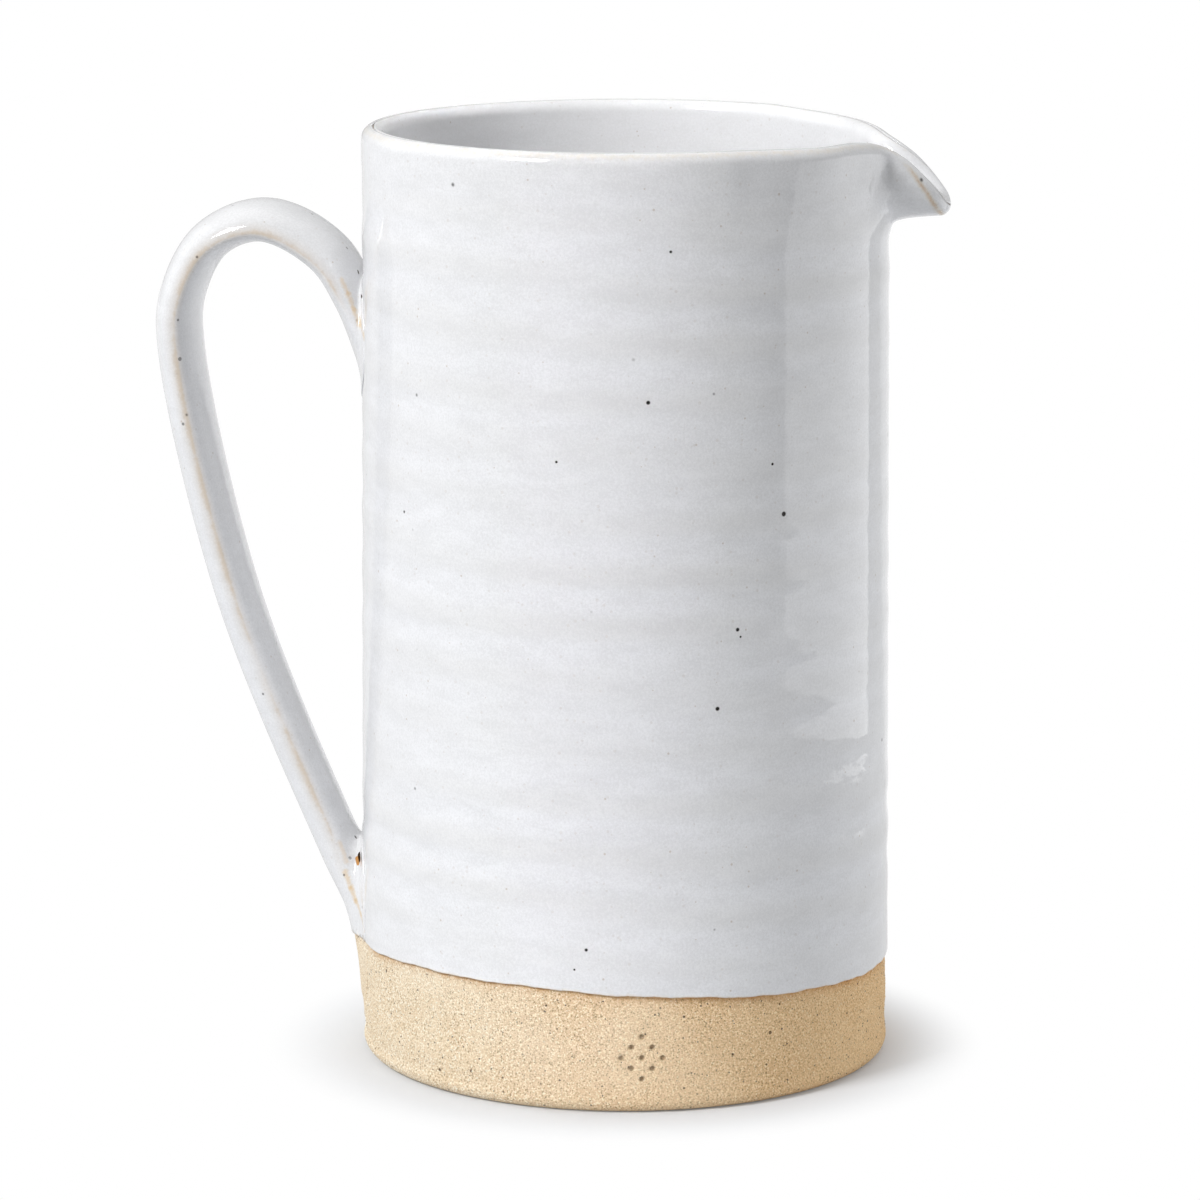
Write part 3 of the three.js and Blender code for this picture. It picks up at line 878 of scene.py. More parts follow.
# %% [markdown]
# ## The outer coat
# The coat is a closed shell: its face follows the wall and half of the rim, its back lies just off the clay,
# and its lower edge is rolled like a bead of syrup that stopped running. A Solidify modifier could make the
# coat from the wall, but not that bead. Its rows sit about a millimetre apart, close enough for the throwing
# rings to be real relief.

# %% Outer glaze
IRON_SPOTS = (  # angle in degrees, height and radius in millimetres
    (-72.9, 196.4, 0.40), (-77.6, 163.0, 0.45), (-47.0, 136.1, 0.55), (-58.2, 110.9, 0.45),
    (-57.5, 109.2, 0.30), (-62.7, 93.2, 0.50), (-96.8, 149.4, 0.35), (-49.9, 147.7, 0.35),
    (-137.4, 133.8, 0.45), (-90.4, 38.3, 0.40), (-92.9, 33.6, 0.30), (-7.3, 76.7, 0.45))
ROLL_STEPS = 5
CREST_END = (math.pi - 0.12) / 2  # the outer coat and the liner stop just short of each other on the crest


def on_glaze(degrees, height):
    radius, angle = outer_radius(height) + COAT, math.radians(degrees)
    return radius * math.cos(angle) * MM, radius * math.sin(angle) * MM, height * MM


spots = [(on_glaze(degrees, height), size * MM, 1.0) for degrees, height, size in IRON_SPOTS]
glaze_body = make_glaze("white_glaze", spots)
bead_heights = np.arange(GLAZE_LINE + 0.5, GLAZE_LINE + 4, 0.5)
wall_heights = np.arange(GLAZE_LINE + 4, BEND_START, 1.15)
bend_heights = np.linspace(BEND_START, RIM_CENTRE, 34)[:-1]
back_bend = np.linspace(RIM_CENTRE, BEND_START, 20)[1:]
back_wall = np.arange(BEND_START - 8, GLAZE_LINE + 4, -8)
bead = GLAZE / 2
roll = arc(outer_radius(GLAZE_LINE) + GLAZE_BOND + bead, GLAZE_LINE + bead, bead, -math.pi, 0, ROLL_STEPS)
outer_coat = throw("outer_glaze_coat", [
    (roll, 1),
    (upright(outer_radius, np.concatenate([bead_heights, wall_heights, bend_heights]), COAT), 1),
    (rim_arc(RIM_HALF + COAT, 0, CREST_END, 10), 0),
    (rim_arc(RIM_HALF + GLAZE_BOND, CREST_END, 0, 6), 0),
    (upright(outer_radius, np.concatenate([back_bend, back_wall]), GLAZE_BOND), 1),
    (roll[:1], 1),
], glaze_body)
thrown = get_points(outer_coat.data)
set_points(outer_coat.data, pull_spout(dip(thrown)))

# %% Where the outer glaze is thin
LIP_ANGLE = math.radians(17)
BEAD_REACH = 0.4


def rim_thinness(points):
    """Glaze runs off the crest of the rim, and most of all off the outer edge of the pulled lip."""
    angle = np.arctan2(points[:, 1], points[:, 0])
    across = np.hypot(points[:, 0], points[:, 1]) - middle_radius(RIM_CENTRE)
    around_crest = np.arctan2(points[:, 2] - RIM_CENTRE, across)
    crest = np.exp(-((around_crest - 0.9) / 0.45) ** 2) * (points[:, 2] > RIM_CENTRE - 1)
    edge = np.exp(-((around_crest - 0.35) / 0.35) ** 2) * (points[:, 2] > RIM_CENTRE - 1.2)
    beak = 1 - smoothstep(np.abs(angle), 0.6 * LIP_ANGLE, LIP_ANGLE)
    return np.maximum(0.48 * crest * (1 - beak), 0.85 * edge * beak)


at_bead = np.exp(-(thrown[:, 2] - GLAZE_LINE) / BEAD_REACH)
set_floats(outer_coat.data, "thin", np.maximum(rim_thinness(thrown), at_bead))
print("Thin places marked on the outer glaze")

# %% [markdown]
# ## The liner
# The inside was glazed by pouring, so the liner runs from the crest of the rim over the whole floor. It is
# thrown with the same tree, and its rings face inwards. Its glaze is painted whiter than the coat outside:
# painted light that lifts the shaded inside. One coat over both sides would be simpler, but the two were
# glazed one after the other and meet on the crest.

# %% Liner glaze
# painted light: the liner's glaze is whiter than the outer coat, to lift the shaded inside
LINER_WHITE_PAINTED_LIGHT = (0.88, 0.885, 0.905, 1)
LINER_GREY_PAINTED_LIGHT = (0.84, 0.84, 0.85, 1)
LINER_SHADE_PAINTED_LIGHT = (0.74, 0.74, 0.745, 1)
FLAT_RADIUS = 44.0  # of the floor inside its rounded corner
corner = FLOOR + FLOOR_CORNER
crest_start = math.pi - CREST_END
glaze_liner_painted_light = make_glaze("liner_white_glaze_painted_light", white=LINER_WHITE_PAINTED_LIGHT, grey=LINER_GREY_PAINTED_LIGHT, shade=LINER_SHADE_PAINTED_LIGHT)
liner_crest = rim_arc(RIM_HALF + COAT, crest_start, math.pi, 10)
liner = throw("liner_glaze_coat", [
    (liner_crest, 0),
    (upright(inner_radius, bend_heights[::-1], -COAT), -1),
    (upright(inner_radius, np.arange(BEND_START - 1.5, corner, -1.5), -COAT), -1),
    (corner_arc(FLOOR_CORNER - GLAZE_PROUD, 0, -QUARTER, 10), 0),
    (np.column_stack([np.linspace(FLAT_RADIUS, 0, 20), np.full(20, FLOOR + GLAZE_PROUD)]), 0),
    (np.column_stack([np.linspace(0, FLAT_RADIUS, 6), np.full(6, FLOOR + GLAZE_BOND)]), 0),
    (corner_arc(FLOOR_CORNER - GLAZE_BOND, -QUARTER, 0, 8), 0),
    (upright(inner_radius, np.arange(corner + 8, BEND_START - 4, 8), -GLAZE_BOND), -1),
    (upright(inner_radius, np.linspace(BEND_START, RIM_CENTRE, 20)[:-1], -GLAZE_BOND), -1),
    (rim_arc(RIM_HALF + GLAZE_BOND, math.pi, crest_start, 6), 0),
    (liner_crest[:1], 0),
], glaze_liner_painted_light)
poured = get_points(liner.data)
set_points(liner.data, pull_spout(poured))
crest = np.exp(-((poured[:, 2] - HEIGHT - GLAZE_PROUD) / 0.5) ** 2)
set_floats(liner.data, "thin", 0.3 * crest)

# %% [markdown]
# ## The pinch beside the spout
# Two fingers held the rim while the third pulled the spout, and each left a dent where the rim turns into the
# lip. A dent is a smooth push with a rounded fall-off, as with a proportional edit. The same push moves clay,
# coat and liner, so the layers stay apart.

# %% Pinching
PINCH_IN_PHOTO = (889, 168)
PINCH_DEPTH = 0.5
PINCH_REACH = 2.2

(pinch_place, pinch_normal), = seen_at(outer_coat.data, [PINCH_IN_PHOTO])
for piece in (body, outer_coat, liner):
    points = get_points(piece.data)
    for mirror in (Vector((1, 1, 1)), Vector((1, -1, 1))):
        gap = np.linalg.norm(points - np.array(pinch_place * mirror) / MM, axis=1)
        push = PINCH_DEPTH * np.exp(-(gap / PINCH_REACH) ** 2)
        points -= push[:, None] * np.array(pinch_normal * mirror)
    set_points(piece.data, points)
print("Pinched at", [round(value / MM, 1) for value in pinch_place])

# %% [markdown]
# ## The strap handle
# The handle was pulled from a wet lump of clay into a strap, bent over and pressed on. It follows a path, so
# Geometry Nodes sweep a lens-shaped section along its route: full and round outside, nearly flat towards the
# hand. Curve to Mesh could sweep a profile too, but it turns the section with the curve; here the strap's
# width has to stay square to the pitcher's plane of symmetry, as the solid's does.

# %% The strap, as a node tree
def build_strap():
    tree = group_with("pull_strap", Int=["Rings", "Points"], Material=["Finish"], Float=[
        "Half Width", "Taper", "Taper From", "Taper To", "Outer Bulge", "Inner Bulge", "Upper Reach",
        "Upper Flare", "Upper Swell", "Upper Thinning", "Lower Reach", "Lower Flare", "Lower Thinning",
        "Wrap", "Coat"])
    given = tree.outputs("NodeGroupInput")
    route = tree.node("GeometryNodeMeshToCurve", {"Mesh": given["Geometry"]})
    sides = {"Size X": 1.0, "Size Y": 1.0, "Vertices X": given["Rings"], "Vertices Y": given["Points"] + 1}
    grid = tree.node("GeometryNodeMeshGrid", sides, "Mesh")
    on_grid = tree.outputs("ShaderNodeSeparateXYZ", {0: tree.node("GeometryNodeInputPosition")})
    along, around = on_grid["X"] + 0.5, on_grid["Y"] + 0.5
    sample = tree.outputs("GeometryNodeSampleCurve", {"Curves": route, "Factor": along}, mode="FACTOR")
    sideways = (0.0, 1.0, 0.0)
    outward = tree.vector("CROSS_PRODUCT", sideways, sample["Tangent"])
    upper = tree.ramp(along, 0.0, given["Upper Reach"], 1.0, 0.0)
    lower = tree.ramp(1.0 - along, 0.0, given["Lower Reach"], 1.0, 0.0)
    slim = tree.ramp(along, given["Taper From"], given["Taper To"], 0.0, given["Taper"])
    half = given["Half Width"] + given["Coat"] - slim
    half = half + upper * upper * given["Upper Flare"] + lower * given["Lower Flare"]
    loss = upper * given["Upper Thinning"] + lower * given["Lower Thinning"]
    outer = given["Outer Bulge"] + given["Coat"] - loss
    inner = given["Inner Bulge"] + given["Coat"] + upper * given["Upper Swell"]
    turn = around * TURN
    rise = tree.maths("SINE", turn)
    bulge = tree.maths("MAXIMUM", rise, 0.0) * outer + tree.maths("MINIMUM", rise, 0.0) * inner
    side = half * tree.maths("COSINE", turn)
    bent = side * side * given["Wrap"] * (upper + lower)
    across = tree.node("ShaderNodeCombineXYZ", {"X": bent, "Y": side})
    lifted = tree.vector("SCALE", outward, bulge)
    spot = tree.vector("ADD", tree.vector("ADD", sample["Position"], across), lifted)
    mesh = tree.store(tree.store(grid, "ring", along), "rail", around)
    swept = tree.node("GeometryNodeSetPosition", {"Geometry": mesh, "Position": spot})
    finish_tree(tree, swept, given["Finish"])
    return tree


strap_tree = build_strap()
print("Strap inputs:", list(strap_tree.identifiers))

# %% Sweeping the strap
STRAP_HALF_WIDTH = 13.0  # at the arch
STRAP_TAPER = 4.8
TAPER_REACH = (0.1, 0.8)  # shares of the strap's length
STRAP_OUTER_BULGE = 5.9
STRAP_INNER_BULGE = 2.7
UPPER_REACH, UPPER_FLARE, UPPER_SWELL, UPPER_THINNING = 0.17, 3.5, 0.5, 3.0
LOWER_REACH, LOWER_FLARE, LOWER_THINNING = 0.19, 11.0, 1.0
ARCH_ROUTE = (  # out from the wall, below the rim
    (-5, 64), (-0.9, 52), (3.8, 40.7), (10.5, 30.9), (24.2, 24.3), (36.2, 28.9), (42.7, 41), (43.2, 52.5))
TAIL_ROUTE = ((5.4, 46), (-0.7, 33), (-2.9, 22), (-3.8, 11))  # out from the wall, above the foot
STRAP_BELLY = 29.6
BURIED_END = (5.0, 0, -4.0)  # the strap's end goes on into the wall, so that every line of it meets the wall
STRAP_RINGS = 240
STRAP_POINTS = 96

arch = [(out, HEIGHT - below) for out, below in ARCH_ROUTE]
belly = (STRAP_BELLY, (arch[-1][1] + TAIL_ROUTE[0][1]) / 2)
strap_stops = arch + [belly] + list(TAIL_ROUTE)
strap_route = smooth_curve([(-outer_radius(z) - out, 0, z) for out, z in strap_stops], 40)
buried = strap_route[-1] + np.outer(np.linspace(0, 1, 12)[1:], BURIED_END)
strap_route = np.vstack([strap_route, buried])


def sweep_strap(name, coat, finish):
    made = polyline_object(name, strap_route)
    sizes = {
        "Half Width": STRAP_HALF_WIDTH, "Taper": STRAP_TAPER, "Outer Bulge": STRAP_OUTER_BULGE,
        "Inner Bulge": STRAP_INNER_BULGE, "Upper Flare": UPPER_FLARE, "Upper Swell": UPPER_SWELL,
        "Upper Thinning": UPPER_THINNING, "Lower Flare": LOWER_FLARE, "Lower Thinning": LOWER_THINNING,
        "Coat": coat}
    run_tree(made, strap_tree, {
        "Rings": STRAP_RINGS, "Points": STRAP_POINTS, "Finish": finish,
        "Taper From": TAPER_REACH[0], "Taper To": TAPER_REACH[1], "Upper Reach": UPPER_REACH,
        "Lower Reach": LOWER_REACH, "Wrap": 1 / (2 * FOOT_RADIUS * MM),
        **{title: size * MM for title, size in sizes.items()}})
    return made


print("Strap route: %.0f mm long" % lengths_along(strap_route)[-1])

# %% [markdown]
# ## Seating the handle
# A potter scores the wall, brushes on slip, presses the root on and wipes the seam with a wet finger, so the
# strap runs into the wall in a soft fillet. A Boolean union with a bevel could make that, but bevels fail on
# such shallow cuts. Here every lengthwise line of the strap, a rail, is followed to the wall, stopped a
# little before it, and led along a small curve onto the wall, where it arrives flush.

# %% The seat of the roots
FILLET_STEPS = 16
UPPER_FILLET = (1.8, 3.0, 5.0)  # over, beside and under the root
LOWER_FILLET = (10.0, 5.0, 2.5)
TUCK = 0.4  # how deep the last ring goes under the glaze
TUCK_REACH = 1.2  # and how far beyond the fillet


def seat_line(rail, skin):
    """Index of the first point of a rail outside the wall, and the point where it leaves the wall."""
    gap = np.hypot(rail[:, 0], rail[:, 1]) - outer_radius(rail[:, 2]) - skin
    first = int(np.argmax(gap > 0))
    share = gap[first - 1] / (gap[first - 1] - gap[first])
    return first, rail[first - 1] + share * (rail[first] - rail[first - 1])


def on_wall(unrolled, skin):
    """Points of the unrolled wall, as arc length from the handle's middle and height, in space."""
    arc_length, height = unrolled.T
    angle = math.pi + arc_length / outer_radius(height)
    radius = outer_radius(height) + skin
    return np.column_stack([radius * np.cos(angle), radius * np.sin(angle), height])


def fillet_round(sizes, heights):
    """Size of the fillet for each rail, from the root's top over its sides to its bottom."""
    middle = (heights.max() + heights.min()) / 2
    level = (heights - middle) / (heights.max() - middle)
    over, beside, under = sizes
    return beside + np.where(level > 0, over - beside, under - beside) * level ** 2


def away_from_root(outline):
    """Directions square to the outline of a root on the unrolled wall, pointing out of it."""
    tangent = np.roll(outline, -1, axis=0) - np.roll(outline, 1, axis=0)
    for _ in range(4):
        tangent = (np.roll(tangent, 1, axis=0) + tangent + np.roll(tangent, -1, axis=0)) / 3
    away = np.column_stack([tangent[:, 1], -tangent[:, 0]])
    away /= np.linalg.norm(away, axis=1)[:, None]
    return away if ((outline - outline.mean(axis=0)) * away).sum() > 0 else -away


def seat_root(rails, sizes, skin):
    """Rings of a root's fillet from the wall to the strap, the rest of each rail, and the outline."""
    found = [seat_line(rail, skin) for rail in rails]
    meet = np.array([point for _, point in found])
    turn = np.arctan2(meet[:, 1], meet[:, 0])
    outline = np.column_stack([(turn % TURN - math.pi) * outer_radius(meet[:, 2]), meet[:, 2]])
    away = away_from_root(outline)
    fillet = fillet_round(sizes, meet[:, 2])
    rest = []
    for (first, point), rail, reach in zip(found, rails, fillet):
        tail = np.vstack([point, rail[first:]])
        rest.append(np.vstack([walk(tail, [reach]), tail[lengths_along(tail) > reach]]))
    starts = np.array([line[0] for line in rest])
    landed = on_wall(outline + fillet[:, None] * away, skin)
    share = np.linspace(0, 1, FILLET_STEPS)[:, None, None]
    curve = (1 - share) ** 2 * landed + 2 * (1 - share) * share * meet + share ** 2 * starts
    tucked = on_wall(outline + (fillet + TUCK_REACH)[:, None] * away, skin - TUCK)
    return np.concatenate([tucked[None], curve]), rest, outline


print("Fillets over, beside and under the roots:", UPPER_FILLET, LOWER_FILLET)

# %% Seating a swept strap
def seat_strap(made, skin):
    """Runs both roots of a swept strap onto the wall. Returns its rings, rails and outlines."""
    mesh = made.data
    ring = np.rint(get_floats(mesh, "ring") * (STRAP_RINGS - 1)).astype(int)
    rail = np.rint(get_floats(mesh, "rail") * STRAP_POINTS).astype(int) % STRAP_POINTS
    table = np.zeros((STRAP_RINGS, STRAP_POINTS, 3))
    table[ring, rail] = get_points(mesh)
    rails = [table[:, j] for j in range(STRAP_POINTS)]
    upper, rest, upper_outline = seat_root(rails, UPPER_FILLET, skin)
    lower, rest, lower_outline = seat_root([line[::-1] for line in rest], LOWER_FILLET, skin)
    middle = STRAP_RINGS - len(upper) - len(lower)
    for j, line in enumerate(rest):
        line = line[::-1]
        even = np.linspace(0, lengths_along(line)[-1], middle + 2)[1:-1]
        table[:, j] = np.vstack([upper[:, j], walk(line, even), lower[::-1, j]])
    set_points(mesh, table[ring, rail])
    return ring, rail, (upper_outline, lower_outline)


def open_edges(shell):
    return [edge for edge in shell.edges if edge.is_boundary]


def close_ends(mesh):
    with opened(mesh) as shell:
        bmesh.ops.remove_doubles(shell, verts=shell.verts, dist=1e-6)
        bmesh.ops.holes_fill(shell, edges=open_edges(shell), sides=0)
        settle(shell)


handle_clay = sweep_strap("pulled_handle_clay", 0.0, bare_clay)
_, _, root_outlines = seat_strap(handle_clay, 0.02)
close_ends(handle_clay.data)
print("Clay handle: %d faces" % len(handle_clay.data.polygons))

# %% [markdown]
# ## The slip beds
# Under each root lies a thin bed of slip, the liquid clay that glues the handle on. It is hidden in the
# finished pot. A disc pressed onto the wall with Shrinkwrap would do, but the seating already knows the
# root's outline on the unrolled wall, so each bed is that outline, drawn in a little and made thick.

# %% Slip beds
BED_SHARE = 0.8  # of the root's outline
BED_MIDDLE = 0.08  # share of the bed inside its smallest ring
BED_RINGS = 8
BED_BOTTOM = 0.05
BED_TOP = 0.75


def lay_slip(name, outline):
    """A flat lens on the wall: rings from the middle out, once on its underside and once on its top."""
    middle = outline.mean(axis=0)
    shares = np.linspace(BED_MIDDLE, 1, BED_RINGS)
    bed = put_in_scene(name, bpy.data.meshes.new(name))
    bed.data.materials.append(dried_slip)
    with opened(bed.data) as shell:
        levels = []
        tops = [BED_BOTTOM] * BED_RINGS + [BED_TOP] * BED_RINGS
        for top, share in zip(tops, np.concatenate([shares, shares[::-1]])):
            lift = BED_BOTTOM + (top - BED_BOTTOM) * math.sqrt(1 - 0.98 * share ** 2)
            ring = on_wall(middle + (outline - middle) * BED_SHARE * share, lift)
            levels.append([shell.verts.new(point) for point in ring * MM])
        for lower, upper in zip(levels, levels[1:]):
            for j in range(len(lower)):
                shell.faces.new((lower[j - 1], lower[j], upper[j], upper[j - 1])).smooth = True
        for level in (levels[0], levels[-1]):
            shell.faces.new(level)
        bmesh.ops.remove_doubles(shell, verts=shell.verts, dist=1e-6)
        settle(shell)
    print("%s: %d faces" % (name, len(bed.data.polygons)))
    return bed


upper_slip = lay_slip("upper_slip_bed", root_outlines[0])
lower_slip = lay_slip("lower_slip_bed", root_outlines[1])

# %% [markdown]
# ## The handle's coat
# The handle was dipped with the pot, so its coat is the same strap swept again, thicker by the glaze, and
# seated in the same way. A Solidify modifier could thicken the clay too, but it would swell the fillets.
# On the strap's edges the glaze ran thin, and an `edge` attribute lets tan show there.

# %% Glaze on the handle
EDGE_FADE = (2.8, 1.2)  # how far the tan of the strap's edge reaches over its outer and its inner side
ROOT_FADE = 13  # rings over which the tan fades out towards a root
handle_coat = sweep_strap("handle_glaze_coat", COAT, glaze_body)
ring, rail, _ = seat_strap(handle_coat, GLAZE_PROUD + 0.03)
rise = np.sin(TURN * rail / STRAP_POINTS)
root_end = FILLET_STEPS + 1
on_strap = smoothstep(ring, root_end, root_end + ROOT_FADE)
on_strap *= smoothstep(STRAP_RINGS - ring, root_end, root_end + ROOT_FADE)
steepness = np.where(rise > 0, STRAP_OUTER_BULGE / EDGE_FADE[0], STRAP_INNER_BULGE / EDGE_FADE[1])
set_floats(handle_coat.data, "edge", np.clip(1 - np.abs(rise) * steepness, 0, 1) * on_strap)
set_floats(handle_coat.data, "thin", np.zeros(len(rise)))
close_ends(handle_coat.data)
print("Handle glaze: %d faces" % len(handle_coat.data.polygons))

# %% Specks, iron streaks and holes on the handle
HANDLE_SPECKS = (  # column and row in the photograph, size in millimetres
    (197, 257, 0.3), (178, 320, 0.3), (180, 359, 0.45), (312, 214, 0.3), (347, 248, 0.35), (183, 424, 0.35),
    (263, 694, 0.3), (350, 858, 0.4), (344, 875, 0.3), (362, 907, 0.35))
SPECK_STRENGTH = 0.65
HANDLE_STREAKS = (  # places in the photograph, size in millimetres, strength
    ((342, 280), (348, 293), (354, 309), (360, 324), (365, 338), 0.9, 0.4),
    ((340, 843), (347, 862), 0.8, 0.3),
    ((345, 872), (351, 888), (356, 901), (361, 915), (367, 930), 0.9, 0.5))
HANDLE_HOLES = (  # both ends in the photograph, size in millimetres, colour: toasted clay or painted shade
    ((357.6, 858), (358.4, 863), 0.7, CLAY_TOAST), ((359.2, 854), (359.8, 860), 0.65, HOLE_PAINTED_SHADE),
    ((358, 271), (358.5, 273), 0.35, HOLE_PAINTED_SHADE), ((361, 295), (361.5, 297), 0.38, HOLE_PAINTED_SHADE))


def on_handle(*places):
    return [tuple(place) for place, _ in seen_at(handle_coat.data, places)]


specks_at = on_handle(*[speck[:2] for speck in HANDLE_SPECKS])
handle_spots = [(place, speck[2] * MM, SPECK_STRENGTH) for place, speck in zip(specks_at, HANDLE_SPECKS)]
handle_streaks = []
for *places, size, amount in HANDLE_STREAKS:
    line = on_handle(*places)
    handle_streaks += [(start, end, size * MM, amount) for start, end in zip(line, line[1:])]
handle_holes = [(*on_handle(start, end), size * MM, tone) for start, end, size, tone in HANDLE_HOLES]
glaze_handle = make_glaze("handle_white_glaze", handle_spots, handle_streaks, handle_holes)
handle_coat.data.materials.clear()
handle_coat.data.materials.append(glaze_handle)
print("Handle: %d specks, %d streaks, %d holes" % (len(handle_spots), len(handle_streaks), len(handle_holes)))

# %% [markdown]
# ## A pinhole, and the end of the coat
# Gas from the clay broke through the molten glaze along the seams of the handle and left small deep holes.
# The largest is pressed into the mesh like the dots of the mark, and the `pinhole` attribute darkens it with
# painted shade. The coat ends on the same tilted plane as the glaze of the wall: bisecting the mesh there
# leaves a clean edge.

# %% Pressing the pinhole and cutting the coat at the line
PINHOLE_IN_PHOTO = (356, 837)
PINHOLE = (0.35, 0.5, 0.4)  # half width, half height and depth, in millimetres


def cut_at_line(mesh):
    """Removes the glaze below the tilted line and turns its edge in to the clay."""
    foot = Vector((-FOOT_RADIUS, 0, glaze_plane(-FOOT_RADIUS, 0))) * MM
    slope = GLAZE_TILT / FOOT_RADIUS
    downhill = Vector((math.cos(GLAZE_TILT_ANGLE), math.sin(GLAZE_TILT_ANGLE), 0))
    normal = (Vector((0, 0, 1)) - slope * downhill).normalized()
    with opened(mesh) as shell:
        everything = list(shell.verts) + list(shell.edges) + list(shell.faces)
        bmesh.ops.bisect_plane(shell, geom=everything, plane_co=foot, plane_no=normal, clear_inner=True)
        shell.normal_update()
        thin = shell.verts.layers.float["thin"]
        for vertex in {vertex for edge in open_edges(shell) for vertex in edge.verts}:
            vertex[thin] = 1.0
        bmesh.ops.holes_fill(shell, edges=open_edges(shell), sides=0)
        settle(shell)


press_hole(handle_coat.data, *PINHOLE_IN_PHOTO, *PINHOLE)
cut_at_line(handle_coat.data)
print("Handle glaze after the cut: %d faces" % len(handle_coat.data.polygons))

# %% [markdown]
# ## The studio
# A white table stands in a room that is bright behind the pot and darker in front. A broad soft lamp lights
# the pot from the left, a narrow strip in front lifts the middle of the wall, a small lamp hangs overhead,
# and a low panel stands on the table's right. The glossy wall reflects all of it: the panel's front edge
# draws the upright line on its right side. The table is white to the camera and keeps the shadow at the foot.

# %% Table
TABLE_FRONT = 0.30  # the table ends in front of the pot, and the dark room begins
TABLE_REACH = 3.0
TABLE_MATT = (0.68, 0.70, 0.73, 1)
TABLE_CLEAR = (0.058, 0.086)  # metres from the pot's axis between which the shadows fade out
SHADOW_SHARE = 0.9
TABLE_MIRRORED = 0.80  # as the glossy wall sees it, away from the panel
# painted glow of the table beside the panel, as the glaze mirrors it
TABLE_PAINTED_GLOW_AT_PANEL = 0.9
TABLE_PAINTED_GLOW_BEHIND = 0.98  # painted glow behind the panel, seen in the rim of the right side
BEHIND_SLANT = 1.35  # of the line that parts the table behind the panel from the rest
BEHIND_FADE = -0.1
PANEL_GLOW = 0.14  # metres
PANEL_ENDS = ((0.58, 0.22), (0.318, -0.207))  # to the right and to the front of the pot
WHITE = (1, 1, 1, 1)

panel_near, panel_far = [to_right * right + to_camera * front for right, front in PANEL_ENDS]
table_finish, tree = new_material("white_table")
path = tree.outputs("ShaderNodeLightPath")
spot = tree.node("ShaderNodeTexCoord", out="Object")
clear = tree.ramp(tree.vector("LENGTH", spot), *TABLE_CLEAR, 1 - SHADOW_SHARE, 1.0)
seen = tree.maths("MAXIMUM", path["Is Camera Ray"], path["Is Glossy Ray"])
seen = tree.maths("MAXIMUM", seen, path["Is Transmission Ray"])
# painted light: in the glaze's mirror the table glows brighter beside the panel and behind it, a painted pool
# of the panel's light
from_panel = near_line(tree, spot, panel_near, panel_far)
mirrored = tree.ramp(from_panel, 0.0, PANEL_GLOW, TABLE_PAINTED_GLOW_AT_PANEL, TABLE_MIRRORED)
ahead, aside = tree.vector("DOT_PRODUCT", spot, to_camera), tree.vector("DOT_PRODUCT", spot, to_right)
behind = tree.ramp(ahead + aside * BEHIND_SLANT, 0.0, BEHIND_FADE, 0.0, TABLE_PAINTED_GLOW_BEHIND - TABLE_MIRRORED)
mirrored = mirrored + behind * tree.maths("GREATER_THAN", aside, 0.0)
level = tree.blend(path["Is Glossy Ray"], 1.0, mirrored)
matt = tree.node("ShaderNodeBsdfDiffuse", {"Color": TABLE_MATT})
glow = tree.node("ShaderNodeEmission", {"Color": WHITE, "Strength": level})
tree.add("ShaderNodeOutputMaterial", {
    "Surface": tree.node("ShaderNodeMixShader", {0: seen * clear, 1: matt, 2: glow})})

table_mesh = bpy.data.meshes.new("table")
corners = ((-TABLE_REACH, TABLE_FRONT), (TABLE_REACH, TABLE_FRONT),
           (TABLE_REACH, -TABLE_REACH), (-TABLE_REACH, -TABLE_REACH))
table_mesh.from_pydata([to_right * right + to_camera * front for right, front in corners], [], [(0, 1, 2, 3)])
table_mesh.materials.append(table_finish)
table_top = put_in_scene("table", table_mesh)
print("Table reaches %.2f m in front of the pot" % TABLE_FRONT)

# %% Room
ROOM_FRONT = 0.32
ROOM_BACK = 0.97
ROOM_DIMMED = 0.45  # share that the backdrop loses in the mirror of the glaze, so bright edges keep a line

world = bpy.data.worlds.new("room")
bpy.context.scene.world = world
world.use_nodes = True
world.node_tree.nodes.clear()
tree = Tree(world.node_tree)
path = tree.outputs("ShaderNodeLightPath")
frontness = tree.vector("DOT_PRODUCT", tree.node("ShaderNodeTexCoord", out="Generated"), to_camera)
brightness = tree.ramp(frontness, -0.35, 0.35, ROOM_BACK, ROOM_FRONT)
dimmed = tree.ramp(frontness, -0.4, -0.85, 0.0, ROOM_DIMMED) * path["Is Glossy Ray"]
brightness = brightness * (1.0 - dimmed)
seen = tree.maths("MAXIMUM", path["Is Camera Ray"], path["Is Transmission Ray"])
strength = tree.blend(seen, brightness, 1.0)
sky = tree.node("ShaderNodeBackground", {"Color": WHITE, "Strength": strength})
tree.add("ShaderNodeOutputWorld", {"Surface": sky})
print("Room: %.2f bright in front, %.2f behind" % (ROOM_FRONT, ROOM_BACK))

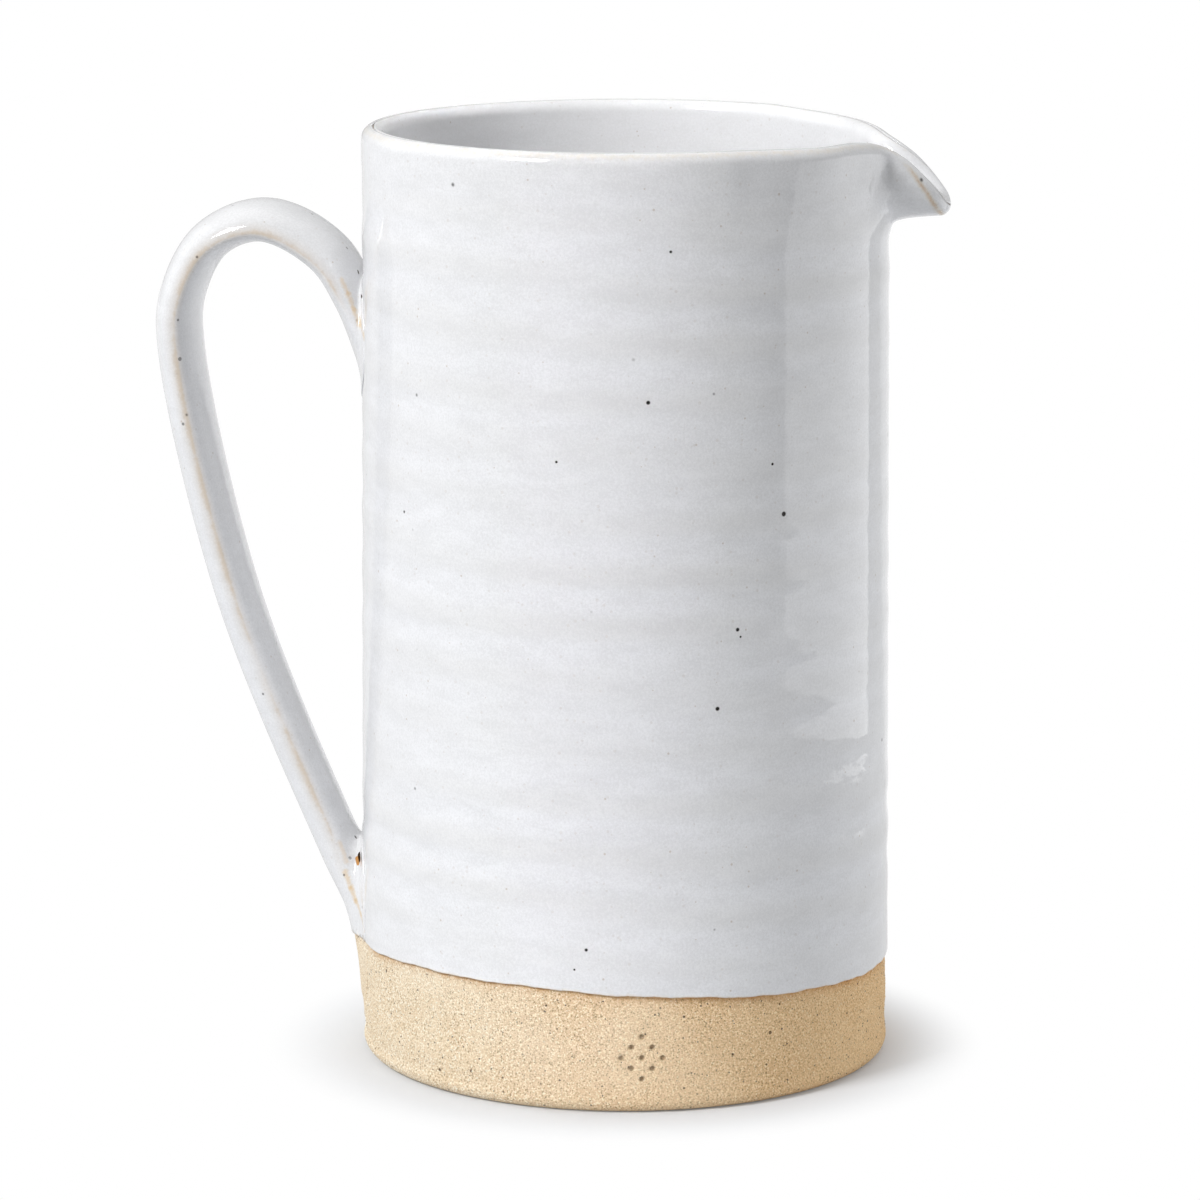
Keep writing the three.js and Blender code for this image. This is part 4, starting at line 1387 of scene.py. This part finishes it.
# %% Lamps
PANEL_HEIGHT = 0.22
MID_WALL = to_right * -0.008 + to_camera * 0.062 + Vector((0, 0, 0.1))  # on the front of the wall
panel_line = panel_far - panel_near
panel_middle = (panel_near + panel_far) / 2 + Vector((0, 0, PANEL_HEIGHT / 2))
panel_aim = panel_middle - panel_line.cross(Vector((0, 0, 1)))
panel_place = (panel_middle.dot(to_right), panel_middle.dot(to_camera), PANEL_HEIGHT / 2)
LAMPS = (  # watts, metres to the right, to the front and up, width and height, aim, spread in degrees
    ("key_left", 25.5, (-1.086, 0.961, 1.25), (0.5, 0.5), (0, 0, 0.12), 180),
    ("strip_front", 0.0082, (-0.25, 1.43, 1.0), (0.02, 0.3), MID_WALL, 3.4),
    ("overhead", 0.05, (-0.05, 0.0, 1.3), (0.05, 0.05), (0, 0, 0.1), 4),
    ("panel_right", 0.31, panel_place, (panel_line.length, PANEL_HEIGHT), panel_aim, 180))


def soft_lamp(name, power, place, size, aim, spread):
    data = bpy.data.lights.new(name, "AREA")
    data.shape = "RECTANGLE"
    data.size, data.size_y = size
    data.energy = power
    data.spread = math.radians(spread)
    made = put_in_scene(name, data)
    right, front, height = place
    made.location = to_right * right + to_camera * front + Vector((0, 0, height))
    made.rotation_euler = (Vector(aim) - made.location).to_track_quat("-Z", "Y").to_euler()
    made.visible_camera = False


for lamp in LAMPS:
    soft_lamp(*lamp)
bpy.context.scene.view_settings.view_transform = "Standard"
print("Lamps:", [light.name for light in bpy.data.lights])

# %% [markdown]
# ## Pieces and their solids
# Each piece says which solid it stands for and which body carries it. The grit stands
# for no solid of its own: it rides along with the clay.

# %% Pieces and bodies
for piece, nodes, slot in (
        (body, ["thrown_body"], "clay"),
        (outer_coat, ["outer_glaze"], "glaze"),
        (liner, ["liner_glaze"], "glaze"),
        (handle_clay, ["pulled_handle"], "clay"),
        (handle_coat, ["handle_glaze"], "glaze"),
        (upper_slip, ["upper_slip_joint"], "slip"),
        (lower_slip, ["lower_slip_joint"], "slip")):
    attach(piece, "root")
    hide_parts(*nodes)
    print(piece.name, "stands for", nodes)
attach(grit, "root")
